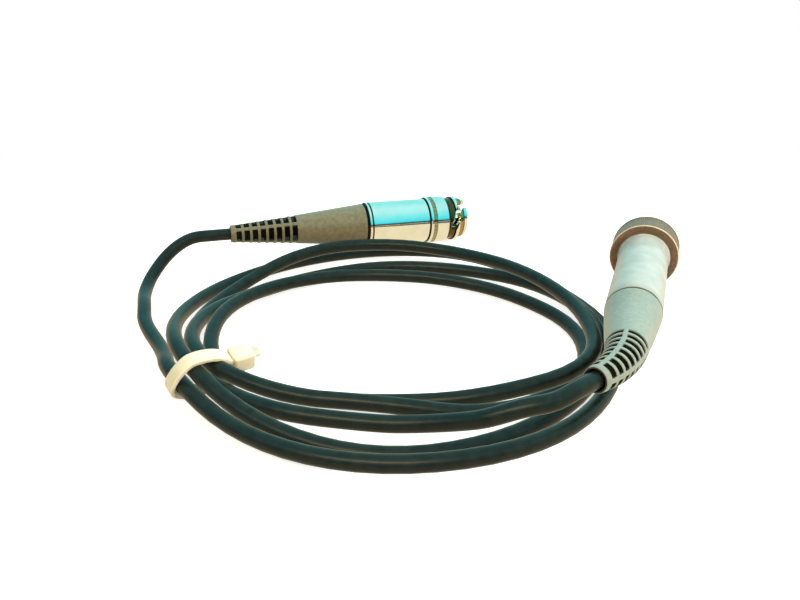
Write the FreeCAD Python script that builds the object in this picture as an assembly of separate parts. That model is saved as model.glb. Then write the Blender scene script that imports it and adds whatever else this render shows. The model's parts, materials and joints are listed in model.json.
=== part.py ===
"""An oscilloscope probe with its cable coiled and tied.

Millimetres, +Z up, the table at z = 0. The head points along +Y with its middle at the origin.
The head and the plug are each built on a local axis: x = 0 is the seam behind the strain relief,
+x runs towards the tip or the connector face, and the strain relief runs back along -x.
"""

import FreeCAD, Part
import math
import os

os.makedirs("parts", exist_ok=True)

V = FreeCAD.Vector

# Clearances
RUNNING = 0.05
PRESS = 0.01
FACE_GAP = 0.05
LOOSE = 0.3

# Cable
CABLE_R = 1.7
CORE_R = 0.35
CORE_TAIL = 1.3

# Strain relief, the same moulding at both ends
BOOT_LENGTH = 40.8
BOOT_RIBBED = 19.7
BOOT_WIDE_R = 6.45
BOOT_MIDDLE_R = 4.3
BOOT_NARROW_R = 2.5
BOOT_WALL = 0.5
BOOT_SLOTS = 8
BOOT_SLOT_PITCH = 2.32
BOOT_SLOT_WIDTH = 1.3
BOOT_SPINE_WIDTH = 1.6
BOOT_CAVITY_R = 4.2
BOOT_CAVITY_LENGTH = 10.0
FERRULE_LENGTH = 7.0
FERRULE_WALL = 0.5
SPIGOT_LENGTH = 5.0

# Head
HEAD_SEAM_Y = -8.2
HANDLE_LENGTH = 37.3
HANDLE_R = 6.05
HANDLE_BORE_R = 4.6
HANDLE_FRONT_WALL = 3.0
HANDLE_REAR_WALL = 2.0
SLEEVE_WALL = 0.35
SLEEVE_END_GAP = 0.4
GUARD_R = 9.0
GUARD_THICKNESS = 8.8
GUARD_LIP_R = 8.0
GUARD_LIP_DEPTH = 0.9
GUARD_LIP_WIDTH = 0.4
GUARD_EDGE = 0.2
GUARD_BEVEL = 0.5
GUARD_FLUTES = 60
GUARD_FLUTE_R = 0.3
NOSE_LENGTH = 3.2
NOSE_R = 5.5
NOSE_FRONT_R = 3.5
BARREL_R = 2.45
BARREL_SEAT_R = 2.2
BARREL_BORE_R = 1.9
BARREL_EXPOSED = 5.5
BARREL_INSERT = 6.0
HOLDER_R = 1.1
HOLDER_WALL = 0.4
HOLDER_INSERT = 12.0
NEEDLE_R = 0.4
NEEDLE_HEAD_LENGTH = 2.0
NEEDLE_OUT = 2.6
NEEDLE_POINT = 1.0
NEEDLE_POINT_R = 0.05
SPRING_LENGTH = 4.0
SPRING_WALL = 0.15
HOLDER_FLOOR = 1.0
SHIELD_WALL = 0.3
RESISTOR_R = 1.2
RESISTOR_LENGTH = 11.0
CAPACITOR_R = 2.4
CAPACITOR_LENGTH = 7.0
LEAD_R = 0.3
HEAD_LIFT_DEG = 7.2
HEAD_SIDE_DEG = 24.8
HEAD_ROLL_DEG = -7.8
HEAD_COLLAR = 4.0
HEAD_LIFT_LENGTH = 8.0

# Plug
PLUG_SEAM_X = -83.3
PLUG_SEAM_Y = 29.3
PLUG_HEADING_DEG = 40.05
PLUG_TILT_DEG = -2.1
PLUG_ROLL_DEG = 47.5
CAN_R = 6.75
CAN_LENGTH = 19.1
CAN_WALL = 1.1
CAN_REAR_WALL = 2.0
CAN_EDGE = 0.3
CAN_GROOVE_AT = 1.0
CAN_GROOVE_WIDTH = 0.5
CAN_GROOVE_DEPTH = 0.2
ACCESS_HOLE_R = 1.4
TRIMMER_AT = 11.0
BOARD_THICKNESS = 1.0
BOARD_LENGTH = 14.0
BOARD_AT = 3.0
BOARD_DROP = 2.5
TRIMMER_R = 2.4
TRIMMER_HEIGHT = 2.6
TRIMMER_FLOOR = 0.8
ROTOR_R = 1.6
ROTOR_THICKNESS = 1.1
ROTOR_SLOT = 0.5
CHIP_LENGTH = 3.2
CHIP_WIDTH = 1.6
CHIP_HEIGHT = 0.6
CHIP_AT = 1.0
END_LIP = 0.7
END_PLUG = 1.6
NECK_R = 3.92
NECK_BORE_R = 2.6
NUT_R = 7.25
NUT_LENGTH = 12.9
NUT_BORE_R = 4.95
NUT_WEB = 1.6
NUT_EDGE = 0.4
NUT_REAR_BAND = 1.0
NUT_KNURL_BAND = 1.3
NUT_KNURLS = 36
NUT_KNURL_R = 0.3
NUT_KNURL_INSET = 0.15
NUT_GRIP_BAND = 4.2
NUT_WAIST_BAND = 2.4
NUT_WAIST_R = 6.55
NUT_RING_BAND = 1.1
NUT_RING_R = 6.95
NUT_NECK_BAND = 1.7
NUT_NECK_R = 6.3
NUT_LIP_R = 6.0
BAYONET_SLOT_R = 1.1
BAYONET_START_DEG = 32.0
BAYONET_TURN_DEG = 65.0
BAYONET_STEPS = 10
BAYONET_DEPTH = 4.6
BAYONET_ENTRY = 2.0
WASHER_R = 4.8
WASHER_THICKNESS = 0.3
SPRING_WASHER_HEIGHT = 0.9
SPRING_WASHER_WALL = 0.25
CONTACT_FLANGE = 1.0
CONTACT_R = 4.05
CONTACT_WALL = 0.5
CONTACT_SEAT_R = 4.3
CONTACT_LENGTH = 9.0
CONTACT_SLITS = 4
CONTACT_SLIT_WIDTH = 0.5
CONTACT_SLIT_LENGTH = 5.0
CONTACT_SOCKET = 2.0
GASKET_WIDTH = 0.45
GASKET_LENGTH = 1.0
PIN_R = 0.68
PIN_SEAT_R = 0.5
PIN_TAIL = 3.0
PIN_SHORT = 1.2
PIN_POINT_R = 0.3

# Coil: every turn passes eight stations, an eighth of a turn apart, round its middle
COIL_X = -55.7
COIL_Y = -22.2
COIL_FIRST_DEG = -129.0
COIL_STATIONS = 8
TABLE_Z = CABLE_R
# How far out and how high the cable passes at each station, from the tie onwards
COIL_TURNS = [
    [(49.3, 3.1), (52.6, 1.7), (53.6, 1.7), (53.3, 1.8), (52.9, 1.8), (52.6, 1.8), (52.8, 1.9), (52.4, 2.3)],
    [(47.3, 6.45), (47.1, 3.8), (48.7, 1.7), (50.1, 4.7), (43.1, 1.7), (38.3, 1.8), (37.4, 1.7), (41.2, 2.9)],
    [(43.3, 6.45), (35.1, 3.3), (41.1, 1.7), (46.2, 1.8), (36.9, 1.7), (30.9, 1.8), (33.0, 1.8), (37.0, 1.7)],
    [(40.9, 3.1), (30.4, 1.7), (34.6, 3.2), (46.7, 8.4), (46.2, 6.2), (48.6, 3.7), (49.0, 3.3), (47.4, 1.7)],
    [(45.2, 3.1), (42.4, 3.9)],
]

# Free stretches of the cable, as points chosen by hand between the ends that they join
LEAD_POINTS = [
    V(-122.7, -4.4, 9.7),
    V(-126.4, -11.1, 7.1),
    V(-126.3, -19.0, 3.7),
    V(-124.0, -24.7, 2.1),
    V(-119.6, -31.0, 1.7),
    V(-115.4, -35.8, 1.7),
    V(-110.1, -40.7, 1.7),
    V(-101.2, -49.2, 2.2),
]
LEAD_EXIT = 5.5
LEAD_ARRIVAL = 8.0
TAIL_POINTS = [
    V(-33.4, -60.8, 5.7),
    V(-26.2, -60.4, 6.6),
    V(-19.8, -58.9, 9.1),
    V(-14.5, -57.9, 12.2),
    V(-9.8, -56.0, 13.3),
]
TAIL_EXIT = 4.9
TAIL_LEAVE = 7.5

# Cable tie
TIE_WIDTH = 2.6
TIE_THICKNESS = 1.0
TIE_GAP = 0.2
TIE_HEAD_LENGTH = 4.6
TIE_HEAD_HEIGHT = 4.2
TIE_HEAD_WIDTH = 4.4
TIE_STUB = 3.5
TIE_STUB_AT = 1.2


def save(name, shape):
    """Write one sub-part."""
    if not shape.isValid():
        print("not valid:", name)
    shape.exportStep("parts/" + name + ".step")
    print(name, len(shape.Solids), "solid(s)", round(shape.Volume, 2), "mm3")


def rod(start, end, radius):
    """A cylinder along local x."""
    return Part.makeCylinder(radius, end - start, V(start, 0, 0), V(1, 0, 0))


def pipe(start, end, outer, inner):
    """A tube along local x."""
    return rod(start, end, outer).cut(rod(start - 1, end + 1, inner))


def cone(start, end, start_radius, end_radius):
    """A truncated cone along local x."""
    return Part.makeCone(start_radius, end_radius, end - start, V(start, 0, 0), V(1, 0, 0))


def turned(profile):
    """A solid of revolution about local x, from (x, radius) corners."""
    corners = [V(x, 0, r) for x, r in profile]
    face = Part.Face(Part.makePolygon(corners + corners[:1]))
    return face.revolve(V(0, 0, 0), V(1, 0, 0), 360)


def unit(vector):
    """The direction of a vector."""
    return vector * (1.0 / vector.Length)


def frame(point, forward):
    """A placement at a point with local x along a direction and local z as near up as it can be."""
    x = unit(forward)
    z = unit(V(0, 0, 1) - x * x.z)
    y = z.cross(x)
    matrix = FreeCAD.Matrix(
        x.x, y.x, z.x, point.x,
        x.y, y.y, z.y, point.y,
        x.z, y.z, z.z, point.z,
        0, 0, 0, 1,
    )
    return FreeCAD.Placement(matrix)


def placed(shape, placement):
    """A copy of a shape moved to its place."""
    moved = shape.copy()
    moved.Placement = placement.multiply(shape.Placement)
    return moved


class Spine:
    """The bent middle line of a strain relief, followed from its wide end back to its narrow end."""

    def __init__(self, segments):
        self.pieces = []
        point = V(0, 0, 0)
        back = V(-1, 0, 0)
        for length, degrees, towards in segments:
            side = unit(towards - back * towards.dot(back))
            self.pieces.append((length, math.radians(degrees), point, back, side))
            point, back = self.along(self.pieces[-1], length)
        self.length = sum(piece[0] for piece in self.pieces)

    @staticmethod
    def along(piece, distance):
        """The point and the backward direction some way along one piece."""
        length, angle, point, back, side = piece
        if angle == 0:
            return point + back * distance, back
        radius = length / angle
        part = angle * distance / length
        where = point + back * (radius * math.sin(part)) + side * (radius * (1 - math.cos(part)))
        return where, back * math.cos(part) + side * math.sin(part)

    def at(self, distance):
        """A placement on the spine, with local x pointing forward."""
        for piece in self.pieces:
            if distance <= piece[0] + 1e-9:
                break
            distance -= piece[0]
        point, back = self.along(piece, distance)
        return frame(point, back * -1)

    def wire(self, start, end):
        """The spine between two distances, as lines and arcs."""
        edges = []
        done = 0.0
        for piece in self.pieces:
            low = max(start, done) - done
            high = min(end, done + piece[0]) - done
            done += piece[0]
            if high - low < 1e-6:
                continue
            first, _ = self.along(piece, low)
            middle, _ = self.along(piece, (low + high) / 2)
            last, _ = self.along(piece, high)
            if piece[1] == 0:
                edges.append(Part.LineSegment(first, last).toShape())
            else:
                edges.append(Part.Arc(first, middle, last).toShape())
        return Part.Wire(edges)


def swept(wire, radius):
    """A round tube along a wire of lines and arcs, as one unbroken pipe shell."""
    edge = wire.OrderedEdges[0]
    start = wire.OrderedVertexes[0].Point
    tangent = edge.tangentAt(edge.FirstParameter)
    if edge.valueAt(edge.FirstParameter).distanceToPoint(start) > 1e-6:
        tangent = edge.tangentAt(edge.LastParameter) * -1
    section = Part.Wire(Part.makeCircle(radius, start, tangent))
    shell = Part.BRepOffsetAPI.MakePipeShell(wire)
    shell.add(section)
    shell.build()
    shell.makeSolid()
    return shell.shape()


def boot_radius(distance):
    """The outer radius of the strain relief, some way back from its wide end."""
    plain = BOOT_LENGTH - BOOT_RIBBED
    if distance < plain:
        return BOOT_WIDE_R + (BOOT_MIDDLE_R - BOOT_WIDE_R) * distance / plain
    return BOOT_MIDDLE_R + (BOOT_NARROW_R - BOOT_MIDDLE_R) * (distance - plain) / BOOT_RIBBED


def strain_relief(spine, roll):
    """A tapered boot with windows between four spines, and with a cavity for the crimp."""
    count = 24
    sections = []
    for i in range(count + 1):
        distance = BOOT_LENGTH * i / count
        circle = Part.Wire(Part.makeCircle(boot_radius(distance), V(0, 0, 0), V(1, 0, 0)))
        sections.append(placed(circle, spine.at(distance)))
    boot = Part.makeLoft(sections, True, True)
    windows = []
    first = BOOT_LENGTH - BOOT_RIBBED + BOOT_SLOT_PITCH / 2
    half = BOOT_SLOT_WIDTH / 2
    for i in range(BOOT_SLOTS):
        distance = first + i * BOOT_SLOT_PITCH
        outer = boot_radius(distance)
        floor = CABLE_R + RUNNING + BOOT_WALL + (outer - BOOT_NARROW_R) * 0.5
        window = pipe(-half, half, outer + 1, floor)
        for turn in (0, 90):
            corner = V(-2 * half, -BOOT_SPINE_WIDTH / 2, -2 * outer)
            bar = Part.makeBox(4 * half, BOOT_SPINE_WIDTH, 4 * outer, corner)
            bar.rotate(V(0, 0, 0), V(1, 0, 0), roll + turn)
            window = window.cut(bar)
        windows.append(placed(window, spine.at(distance)))
    boot = boot.cut(Part.makeCompound(windows))
    boot = boot.cut(swept(spine.wire(0, spine.length), CABLE_R + RUNNING))
    cavity = rod(-BOOT_CAVITY_LENGTH, 1, BOOT_CAVITY_R)
    if spine.pieces[0][0] < BOOT_CAVITY_LENGTH:
        circles = []
        for distance in (0, HEAD_COLLAR, (HEAD_COLLAR + BOOT_CAVITY_LENGTH) / 2, BOOT_CAVITY_LENGTH):
            circle = Part.Wire(Part.makeCircle(BOOT_CAVITY_R, V(0, 0, 0), V(1, 0, 0)))
            circles.append(placed(circle, spine.at(distance)))
        cavity = Part.makeLoft(circles, True, True)
    return boot.cut(cavity)


straight = Spine([(BOOT_LENGTH, 0, V(0, 1, 0))])
bent = Spine([
    (HEAD_COLLAR, 0, V(0, 0, 1)),
    (HEAD_LIFT_LENGTH, HEAD_LIFT_DEG, V(0, 0, 1)),
    (BOOT_LENGTH - BOOT_RIBBED - HEAD_COLLAR - HEAD_LIFT_LENGTH, 0, V(0, 0, 1)),
    (BOOT_RIBBED, HEAD_SIDE_DEG, V(0, 1, 0)),
])

HEAD = frame(V(0, HEAD_SEAM_Y, GUARD_R), V(0, 1, 0))
plug_heading = math.radians(PLUG_HEADING_DEG)
plug_tilt = math.radians(PLUG_TILT_DEG)
nut_rear = CAN_LENGTH + END_LIP + FACE_GAP
nut_rest = nut_rear + NUT_REAR_BAND + NUT_KNURL_BAND + NUT_GRIP_BAND - NUT_EDGE
plug_z = NUT_R * math.cos(plug_tilt) - nut_rest * math.sin(plug_tilt)
plug_forward = V(math.cos(plug_heading), math.sin(plug_heading), math.tan(plug_tilt))
PLUG = frame(V(PLUG_SEAM_X, PLUG_SEAM_Y, plug_z), plug_forward)


def head_piece(name, shape):
    """Save a piece of the head."""
    save(name, placed(shape, HEAD))


def plug_piece(name, shape):
    """Save a piece of the plug."""
    save(name, placed(shape, PLUG))


# Head, strain relief and crimp
cable_stop = SPIGOT_LENGTH
head_piece("head_boot", strain_relief(bent, HEAD_ROLL_DEG))
head_piece("head_cable_end", swept(bent.wire(cable_stop + FACE_GAP, BOOT_LENGTH), CABLE_R))
ferrule_bore = CABLE_R + RUNNING


def crimp(spine):
    """A crimp ring round the cable, inside the strain relief."""
    start = cable_stop + FACE_GAP
    end = min(start + FERRULE_LENGTH, BOOT_CAVITY_LENGTH - FACE_GAP)
    path = spine.wire(start, end)
    return swept(path, ferrule_bore + FERRULE_WALL).cut(swept(path, ferrule_bore))


head_piece("head_ferrule", crimp(bent))

# Head, handle
guard_front = HANDLE_LENGTH + GUARD_THICKNESS
handle = turned([
    (-SPIGOT_LENGTH, 0),
    (-SPIGOT_LENGTH, BOOT_CAVITY_R - RUNNING),
    (FACE_GAP, BOOT_CAVITY_R - RUNNING),
    (FACE_GAP, HANDLE_R),
    (guard_front, HANDLE_R),
    (guard_front, 0),
])
handle = handle.cut(rod(HANDLE_REAR_WALL, guard_front - HANDLE_FRONT_WALL, HANDLE_BORE_R))
handle = handle.cut(rod(-SPIGOT_LENGTH - 1, HANDLE_REAR_WALL + 1, CORE_R + RUNNING))
barrel_rear = guard_front + NOSE_LENGTH - BARREL_INSERT
handle = handle.cut(rod(guard_front - HANDLE_FRONT_WALL - 1, guard_front + 1, BARREL_SEAT_R + PRESS))
head_piece("head_body", handle)
sleeve_end = HANDLE_LENGTH - SLEEVE_END_GAP
sleeve_bore = HANDLE_R + PRESS
head_piece("clear_sleeve", pipe(SLEEVE_END_GAP, sleeve_end, sleeve_bore + SLEEVE_WALL, sleeve_bore))

# Head, finger guard with a fluted rim
guard = turned([
    (HANDLE_LENGTH, HANDLE_R + RUNNING),
    (HANDLE_LENGTH + GUARD_LIP_DEPTH, GUARD_LIP_R - GUARD_LIP_WIDTH),
    (HANDLE_LENGTH, GUARD_LIP_R),
    (HANDLE_LENGTH, GUARD_R - GUARD_EDGE),
    (HANDLE_LENGTH + GUARD_EDGE, GUARD_R),
    (guard_front - GUARD_BEVEL, GUARD_R),
    (guard_front, GUARD_R - GUARD_BEVEL),
    (guard_front, HANDLE_R + RUNNING),
])
flutes = []
for i in range(GUARD_FLUTES):
    angle = 2 * math.pi * i / GUARD_FLUTES
    flute = rod(HANDLE_LENGTH + GUARD_LIP_DEPTH, guard_front + 1, GUARD_FLUTE_R)
    flute.translate(V(0, GUARD_R * math.cos(angle), GUARD_R * math.sin(angle)))
    flutes.append(flute)
head_piece("guard_ring", guard.cut(Part.makeCompound(flutes)))

# Head, nose, ground barrel and tip
nose_front = guard_front + NOSE_LENGTH
nose_rear = guard_front + FACE_GAP
nose = cone(nose_rear, nose_front, NOSE_R, NOSE_FRONT_R)
head_piece("nose_cone", nose.cut(rod(nose_rear - 1, nose_front + 1, BARREL_SEAT_R + PRESS)))
barrel_front = nose_front + BARREL_EXPOSED
barrel = rod(barrel_rear, barrel_front, BARREL_SEAT_R)
barrel = barrel.fuse(rod(nose_front + FACE_GAP, barrel_front, BARREL_R)).removeSplitter()
head_piece("ground_barrel", barrel.cut(rod(barrel_rear - 1, barrel_front + 1, BARREL_BORE_R)))
insulator_bore = HOLDER_R + PRESS
head_piece("tip_insulator", pipe(barrel_rear, barrel_front - LOOSE, BARREL_BORE_R - PRESS, insulator_bore))
holder_rear = barrel_front - HOLDER_INSERT
holder_bore = HOLDER_R - HOLDER_WALL
spring_rear = holder_rear + HOLDER_FLOOR + FACE_GAP
spring_front = spring_rear + SPRING_LENGTH
needle_rear = spring_front + FACE_GAP
needle_shoulder = needle_rear + NEEDLE_HEAD_LENGTH
holder_stop = needle_shoulder + FACE_GAP
holder = rod(holder_rear, barrel_front, HOLDER_R)
holder = holder.cut(rod(holder_rear + HOLDER_FLOOR, holder_stop, holder_bore))
holder = holder.cut(rod(holder_stop - 1, barrel_front + 1, NEEDLE_R + RUNNING))
head_piece("tip_holder", holder)
needle_head_r = holder_bore - RUNNING
needle = rod(needle_rear, needle_shoulder, needle_head_r)
needle_tip = barrel_front + NEEDLE_OUT
needle = needle.fuse(rod(needle_rear, needle_tip - NEEDLE_POINT, NEEDLE_R))
needle = needle.fuse(cone(needle_tip - NEEDLE_POINT, needle_tip, NEEDLE_R, NEEDLE_POINT_R)).removeSplitter()
head_piece("tip_needle", needle)
head_piece("tip_spring", pipe(spring_rear, spring_front, needle_head_r, needle_head_r - SPRING_WALL))

# Head, divider network inside its shield
shield_r = HANDLE_BORE_R - PRESS
shield_front = guard_front - HANDLE_FRONT_WALL - FACE_GAP
shield_rear = HANDLE_REAR_WALL + FACE_GAP
head_piece("shield_tube", pipe(shield_rear, shield_front, shield_r, shield_r - SHIELD_WALL))
core_end = HANDLE_REAR_WALL + CORE_TAIL
resistor_mid = (HANDLE_REAR_WALL + holder_rear) / 2
resistor = rod(resistor_mid - RESISTOR_LENGTH / 2, resistor_mid + RESISTOR_LENGTH / 2, RESISTOR_R)
resistor = resistor.fuse(rod(core_end, holder_rear, LEAD_R))
head_piece("head_resistor", resistor)
capacitor_half = CAPACITOR_LENGTH / 2
capacitor_bore = RESISTOR_R + PRESS
capacitor = pipe(resistor_mid - capacitor_half, resistor_mid + capacitor_half, CAPACITOR_R, capacitor_bore)
head_piece("head_capacitor", capacitor)
head_piece("head_cable_core", rod(-SPIGOT_LENGTH, core_end, CORE_R))

# Plug, strain relief and crimp
plug_piece("plug_boot", strain_relief(straight, PLUG_ROLL_DEG))
plug_piece("plug_cable_end", swept(straight.wire(cable_stop + FACE_GAP, BOOT_LENGTH), CABLE_R))
plug_piece("plug_ferrule", crimp(straight))

# Plug, metal can with its access hole on the side away from the coil
can = turned([
    (-SPIGOT_LENGTH, 0),
    (-SPIGOT_LENGTH, BOOT_CAVITY_R - RUNNING),
    (FACE_GAP, BOOT_CAVITY_R - RUNNING),
    (FACE_GAP, CAN_R - CAN_EDGE),
    (FACE_GAP + CAN_EDGE, CAN_R),
    (CAN_GROOVE_AT, CAN_R),
    (CAN_GROOVE_AT, CAN_R - CAN_GROOVE_DEPTH),
    (CAN_GROOVE_AT + CAN_GROOVE_WIDTH, CAN_R - CAN_GROOVE_DEPTH),
    (CAN_GROOVE_AT + CAN_GROOVE_WIDTH, CAN_R),
    (CAN_LENGTH, CAN_R),
    (CAN_LENGTH, 0),
])
can_bore = CAN_R - CAN_WALL
can = can.cut(rod(CAN_REAR_WALL, CAN_LENGTH + 1, can_bore))
can = can.cut(rod(-SPIGOT_LENGTH - 1, CAN_REAR_WALL + 1, CORE_R + RUNNING))
can = can.cut(Part.makeCylinder(ACCESS_HOLE_R, CAN_R + 1, V(TRIMMER_AT, 0, 0), V(0, 1, 0)))
plug_piece("plug_housing", can)
plug_piece("plug_cable_core", rod(-SPIGOT_LENGTH, BOARD_AT - LOOSE, CORE_R))

# Plug, compensation board: its faces lie across local y
board_floor = -BOARD_DROP - BOARD_THICKNESS
board_half = math.sqrt(can_bore ** 2 - board_floor ** 2) - RUNNING
board = Part.makeBox(BOARD_LENGTH, BOARD_THICKNESS, 2 * board_half, V(BOARD_AT, board_floor, -board_half))
plug_piece("comp_board", board)
base_top = -BOARD_DROP + TRIMMER_HEIGHT
base = Part.makeCylinder(TRIMMER_R, TRIMMER_HEIGHT, V(TRIMMER_AT, -BOARD_DROP, 0), V(0, 1, 0))
well_floor = V(TRIMMER_AT, -BOARD_DROP + TRIMMER_FLOOR, 0)
well = Part.makeCylinder(ROTOR_R + RUNNING, TRIMMER_HEIGHT, well_floor, V(0, 1, 0))
plug_piece("trimmer_base", base.cut(well))
rotor_floor = -BOARD_DROP + TRIMMER_FLOOR + FACE_GAP
rotor = Part.makeCylinder(ROTOR_R, ROTOR_THICKNESS, V(TRIMMER_AT, rotor_floor, 0), V(0, 1, 0))
slot_floor = rotor_floor + ROTOR_THICKNESS / 2
slot_corner = V(TRIMMER_AT - 2 * ROTOR_R, slot_floor, -ROTOR_SLOT / 2)
slot = Part.makeBox(4 * ROTOR_R, ROTOR_THICKNESS, ROTOR_SLOT, slot_corner)
plug_piece("trimmer_screw", rotor.cut(slot))
chip_corner = V(BOARD_AT + CHIP_AT, -BOARD_DROP, -CHIP_LENGTH / 2)
chip = Part.makeBox(CHIP_WIDTH, CHIP_HEIGHT, CHIP_LENGTH, chip_corner)
plug_piece("comp_resistor", chip)

# Plug, connector body, contacts and insulator
body_rear = CAN_LENGTH - END_PLUG
washer_rear = nut_rear + NUT_WEB + FACE_GAP
spring_washer_rear = washer_rear + WASHER_THICKNESS + FACE_GAP
spring_washer_front = spring_washer_rear + SPRING_WASHER_HEIGHT
flange_rear = spring_washer_front + FACE_GAP
socket_front = flange_rear + CONTACT_SOCKET
body = turned([
    (body_rear, NECK_BORE_R),
    (body_rear, can_bore - RUNNING),
    (CAN_LENGTH, can_bore - RUNNING),
    (CAN_LENGTH, CAN_R),
    (CAN_LENGTH + END_LIP, CAN_R),
    (CAN_LENGTH + END_LIP, NECK_R),
    (flange_rear, NECK_R),
    (flange_rear, CONTACT_R - CONTACT_WALL - PRESS),
    (socket_front, CONTACT_R - CONTACT_WALL - PRESS),
    (socket_front, NECK_BORE_R),
])
plug_piece("plug_body", body)
nut_front = nut_rear + NUT_LENGTH
contact_front = flange_rear + CONTACT_LENGTH
gasket_rear = flange_rear + CONTACT_FLANGE + PRESS
gasket_front = gasket_rear + GASKET_LENGTH
contact = turned([
    (flange_rear, CONTACT_R - CONTACT_WALL),
    (flange_rear, NUT_BORE_R - 2 * RUNNING),
    (flange_rear + CONTACT_FLANGE, NUT_BORE_R - 2 * RUNNING),
    (flange_rear + CONTACT_FLANGE, CONTACT_SEAT_R),
    (gasket_front, CONTACT_SEAT_R),
    (gasket_front, CONTACT_R),
    (contact_front, CONTACT_R),
    (contact_front, CONTACT_R - CONTACT_WALL),
])
slits = []
for i in range(CONTACT_SLITS):
    slit = Part.makeBox(
        CONTACT_SLIT_LENGTH + 1, CONTACT_SLIT_WIDTH, CONTACT_R + 1,
        V(contact_front - CONTACT_SLIT_LENGTH, -CONTACT_SLIT_WIDTH / 2, 0),
    )
    slit.rotate(V(0, 0, 0), V(1, 0, 0), 360.0 * i / CONTACT_SLITS + 45)
    slits.append(slit)
plug_piece("outer_contact", contact.cut(Part.makeCompound(slits)))
gasket = pipe(gasket_rear, gasket_front, CONTACT_SEAT_R + GASKET_WIDTH, CONTACT_SEAT_R + PRESS)
plug_piece("plug_gasket", gasket)
insulator_r = NECK_BORE_R - PRESS
plug_piece("plug_insulator", pipe(body_rear, socket_front, insulator_r, PIN_SEAT_R + PRESS))
pin_rear = body_rear - PIN_TAIL + LOOSE
pin_front = contact_front - PIN_SHORT
pin = rod(pin_rear, pin_front - PIN_R, PIN_SEAT_R)
pin = pin.fuse(rod(socket_front + FACE_GAP, pin_front - PIN_R, PIN_R))
pin = pin.fuse(cone(pin_front - PIN_R, pin_front, PIN_R, PIN_POINT_R)).removeSplitter()
plug_piece("centre_pin", pin)

# Plug, coupling nut on its washers
washer_bore = NECK_R + RUNNING
plug_piece("thrust_washer", pipe(washer_rear, washer_rear + WASHER_THICKNESS, WASHER_R, washer_bore))
spring_washer = turned([
    (spring_washer_rear, WASHER_R - SPRING_WASHER_WALL),
    (spring_washer_rear, WASHER_R),
    (spring_washer_rear + SPRING_WASHER_WALL, WASHER_R),
    (spring_washer_front, washer_bore + SPRING_WASHER_WALL),
    (spring_washer_front, washer_bore),
    (spring_washer_front - SPRING_WASHER_WALL, washer_bore),
])
plug_piece("spring_washer", spring_washer)
knurl_start = nut_rear + NUT_REAR_BAND
knurl_end = knurl_start + NUT_KNURL_BAND
waist_start = knurl_end + NUT_GRIP_BAND
waist_end = waist_start + NUT_WAIST_BAND
ring_end = waist_end + NUT_RING_BAND
neck_end = ring_end + NUT_NECK_BAND
nut = turned([
    (nut_rear, NECK_R + RUNNING),
    (nut_rear, NUT_R - NUT_EDGE),
    (nut_rear + NUT_EDGE, NUT_R),
    (knurl_start, NUT_R),
    (knurl_start, NUT_R - NUT_KNURL_INSET),
    (knurl_end, NUT_R - NUT_KNURL_INSET),
    (knurl_end, NUT_R),
    (waist_start - NUT_EDGE, NUT_R),
    (waist_start, NUT_R - NUT_EDGE),
    (waist_start, NUT_WAIST_R),
    (waist_end, NUT_WAIST_R),
    (waist_end, NUT_RING_R),
    (ring_end, NUT_RING_R),
    (ring_end, NUT_NECK_R),
    (neck_end, NUT_NECK_R),
    (nut_front, NUT_LIP_R),
    (nut_front, NUT_BORE_R),
    (nut_rear + NUT_WEB, NUT_BORE_R),
    (nut_rear + NUT_WEB, NECK_R + RUNNING),
])
knurls = []
for i in range(NUT_KNURLS):
    angle = 2 * math.pi * i / NUT_KNURLS
    knurl = rod(knurl_start, knurl_end, NUT_KNURL_R)
    knurl.translate(V(0, (NUT_R - 0.05) * math.cos(angle), (NUT_R - 0.05) * math.sin(angle)))
    knurls.append(knurl)
nut = nut.cut(Part.makeCompound(knurls))
bayonets = []
for side in (0, 180):
    for i in range(BAYONET_STEPS + 1):
        share = i / BAYONET_STEPS
        x = nut_front - BAYONET_ENTRY - (BAYONET_DEPTH - BAYONET_ENTRY) * share
        drill = Part.makeCylinder(BAYONET_SLOT_R, NUT_R + 1, V(x, 0, 0), V(0, 0, 1))
        drill.rotate(V(0, 0, 0), V(1, 0, 0), side + BAYONET_START_DEG + BAYONET_TURN_DEG * share)
        bayonets.append(drill)
    mouth = Part.makeBox(
        BAYONET_ENTRY + 1, 2 * BAYONET_SLOT_R, NUT_R + 1,
        V(nut_front - BAYONET_ENTRY, -BAYONET_SLOT_R, 0),
    )
    mouth.rotate(V(0, 0, 0), V(1, 0, 0), side + BAYONET_START_DEG)
    bayonets.append(mouth)
nut = nut.cut(bayonets[0].multiFuse(bayonets[1:]))
plug_piece("coupling_nut", nut)

# Coil: one unbroken tube on arcs, tangent at every station
stations = []
for turn in COIL_TURNS:
    for i, (reach, height) in enumerate(turn):
        angle = math.radians(COIL_FIRST_DEG + 360.0 / COIL_STATIONS * i)
        stations.append(V(COIL_X + reach * math.cos(angle), COIL_Y + reach * math.sin(angle), height))


def through(before, here, after):
    """The direction of a smooth path at a point between two others, level where it lies on the table."""
    first = here - before
    second = after - here
    way = unit(first) * second.Length + unit(second) * first.Length
    if here.z <= TABLE_Z:
        way.z = 0
    return unit(way)


chain = [LEAD_POINTS[-1]] + stations + [TAIL_POINTS[0]]
ways = [through(chain[i], chain[i + 1], chain[i + 2]) for i in range(len(stations))]


def arc(start, way, end):
    """An arc that leaves a point in a direction and ends at another, with its radius."""
    chord = end - start
    straight_way = unit(chord)
    half = math.acos(max(-1.0, min(1.0, straight_way.dot(way))))
    radius = chord.Length / (2 * math.sin(half))
    inward = unit(straight_way - way * straight_way.dot(way))
    middle = start + way * (radius * math.sin(half)) + inward * (radius * (1 - math.cos(half)))
    return Part.Arc(start, middle, end), radius


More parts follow.
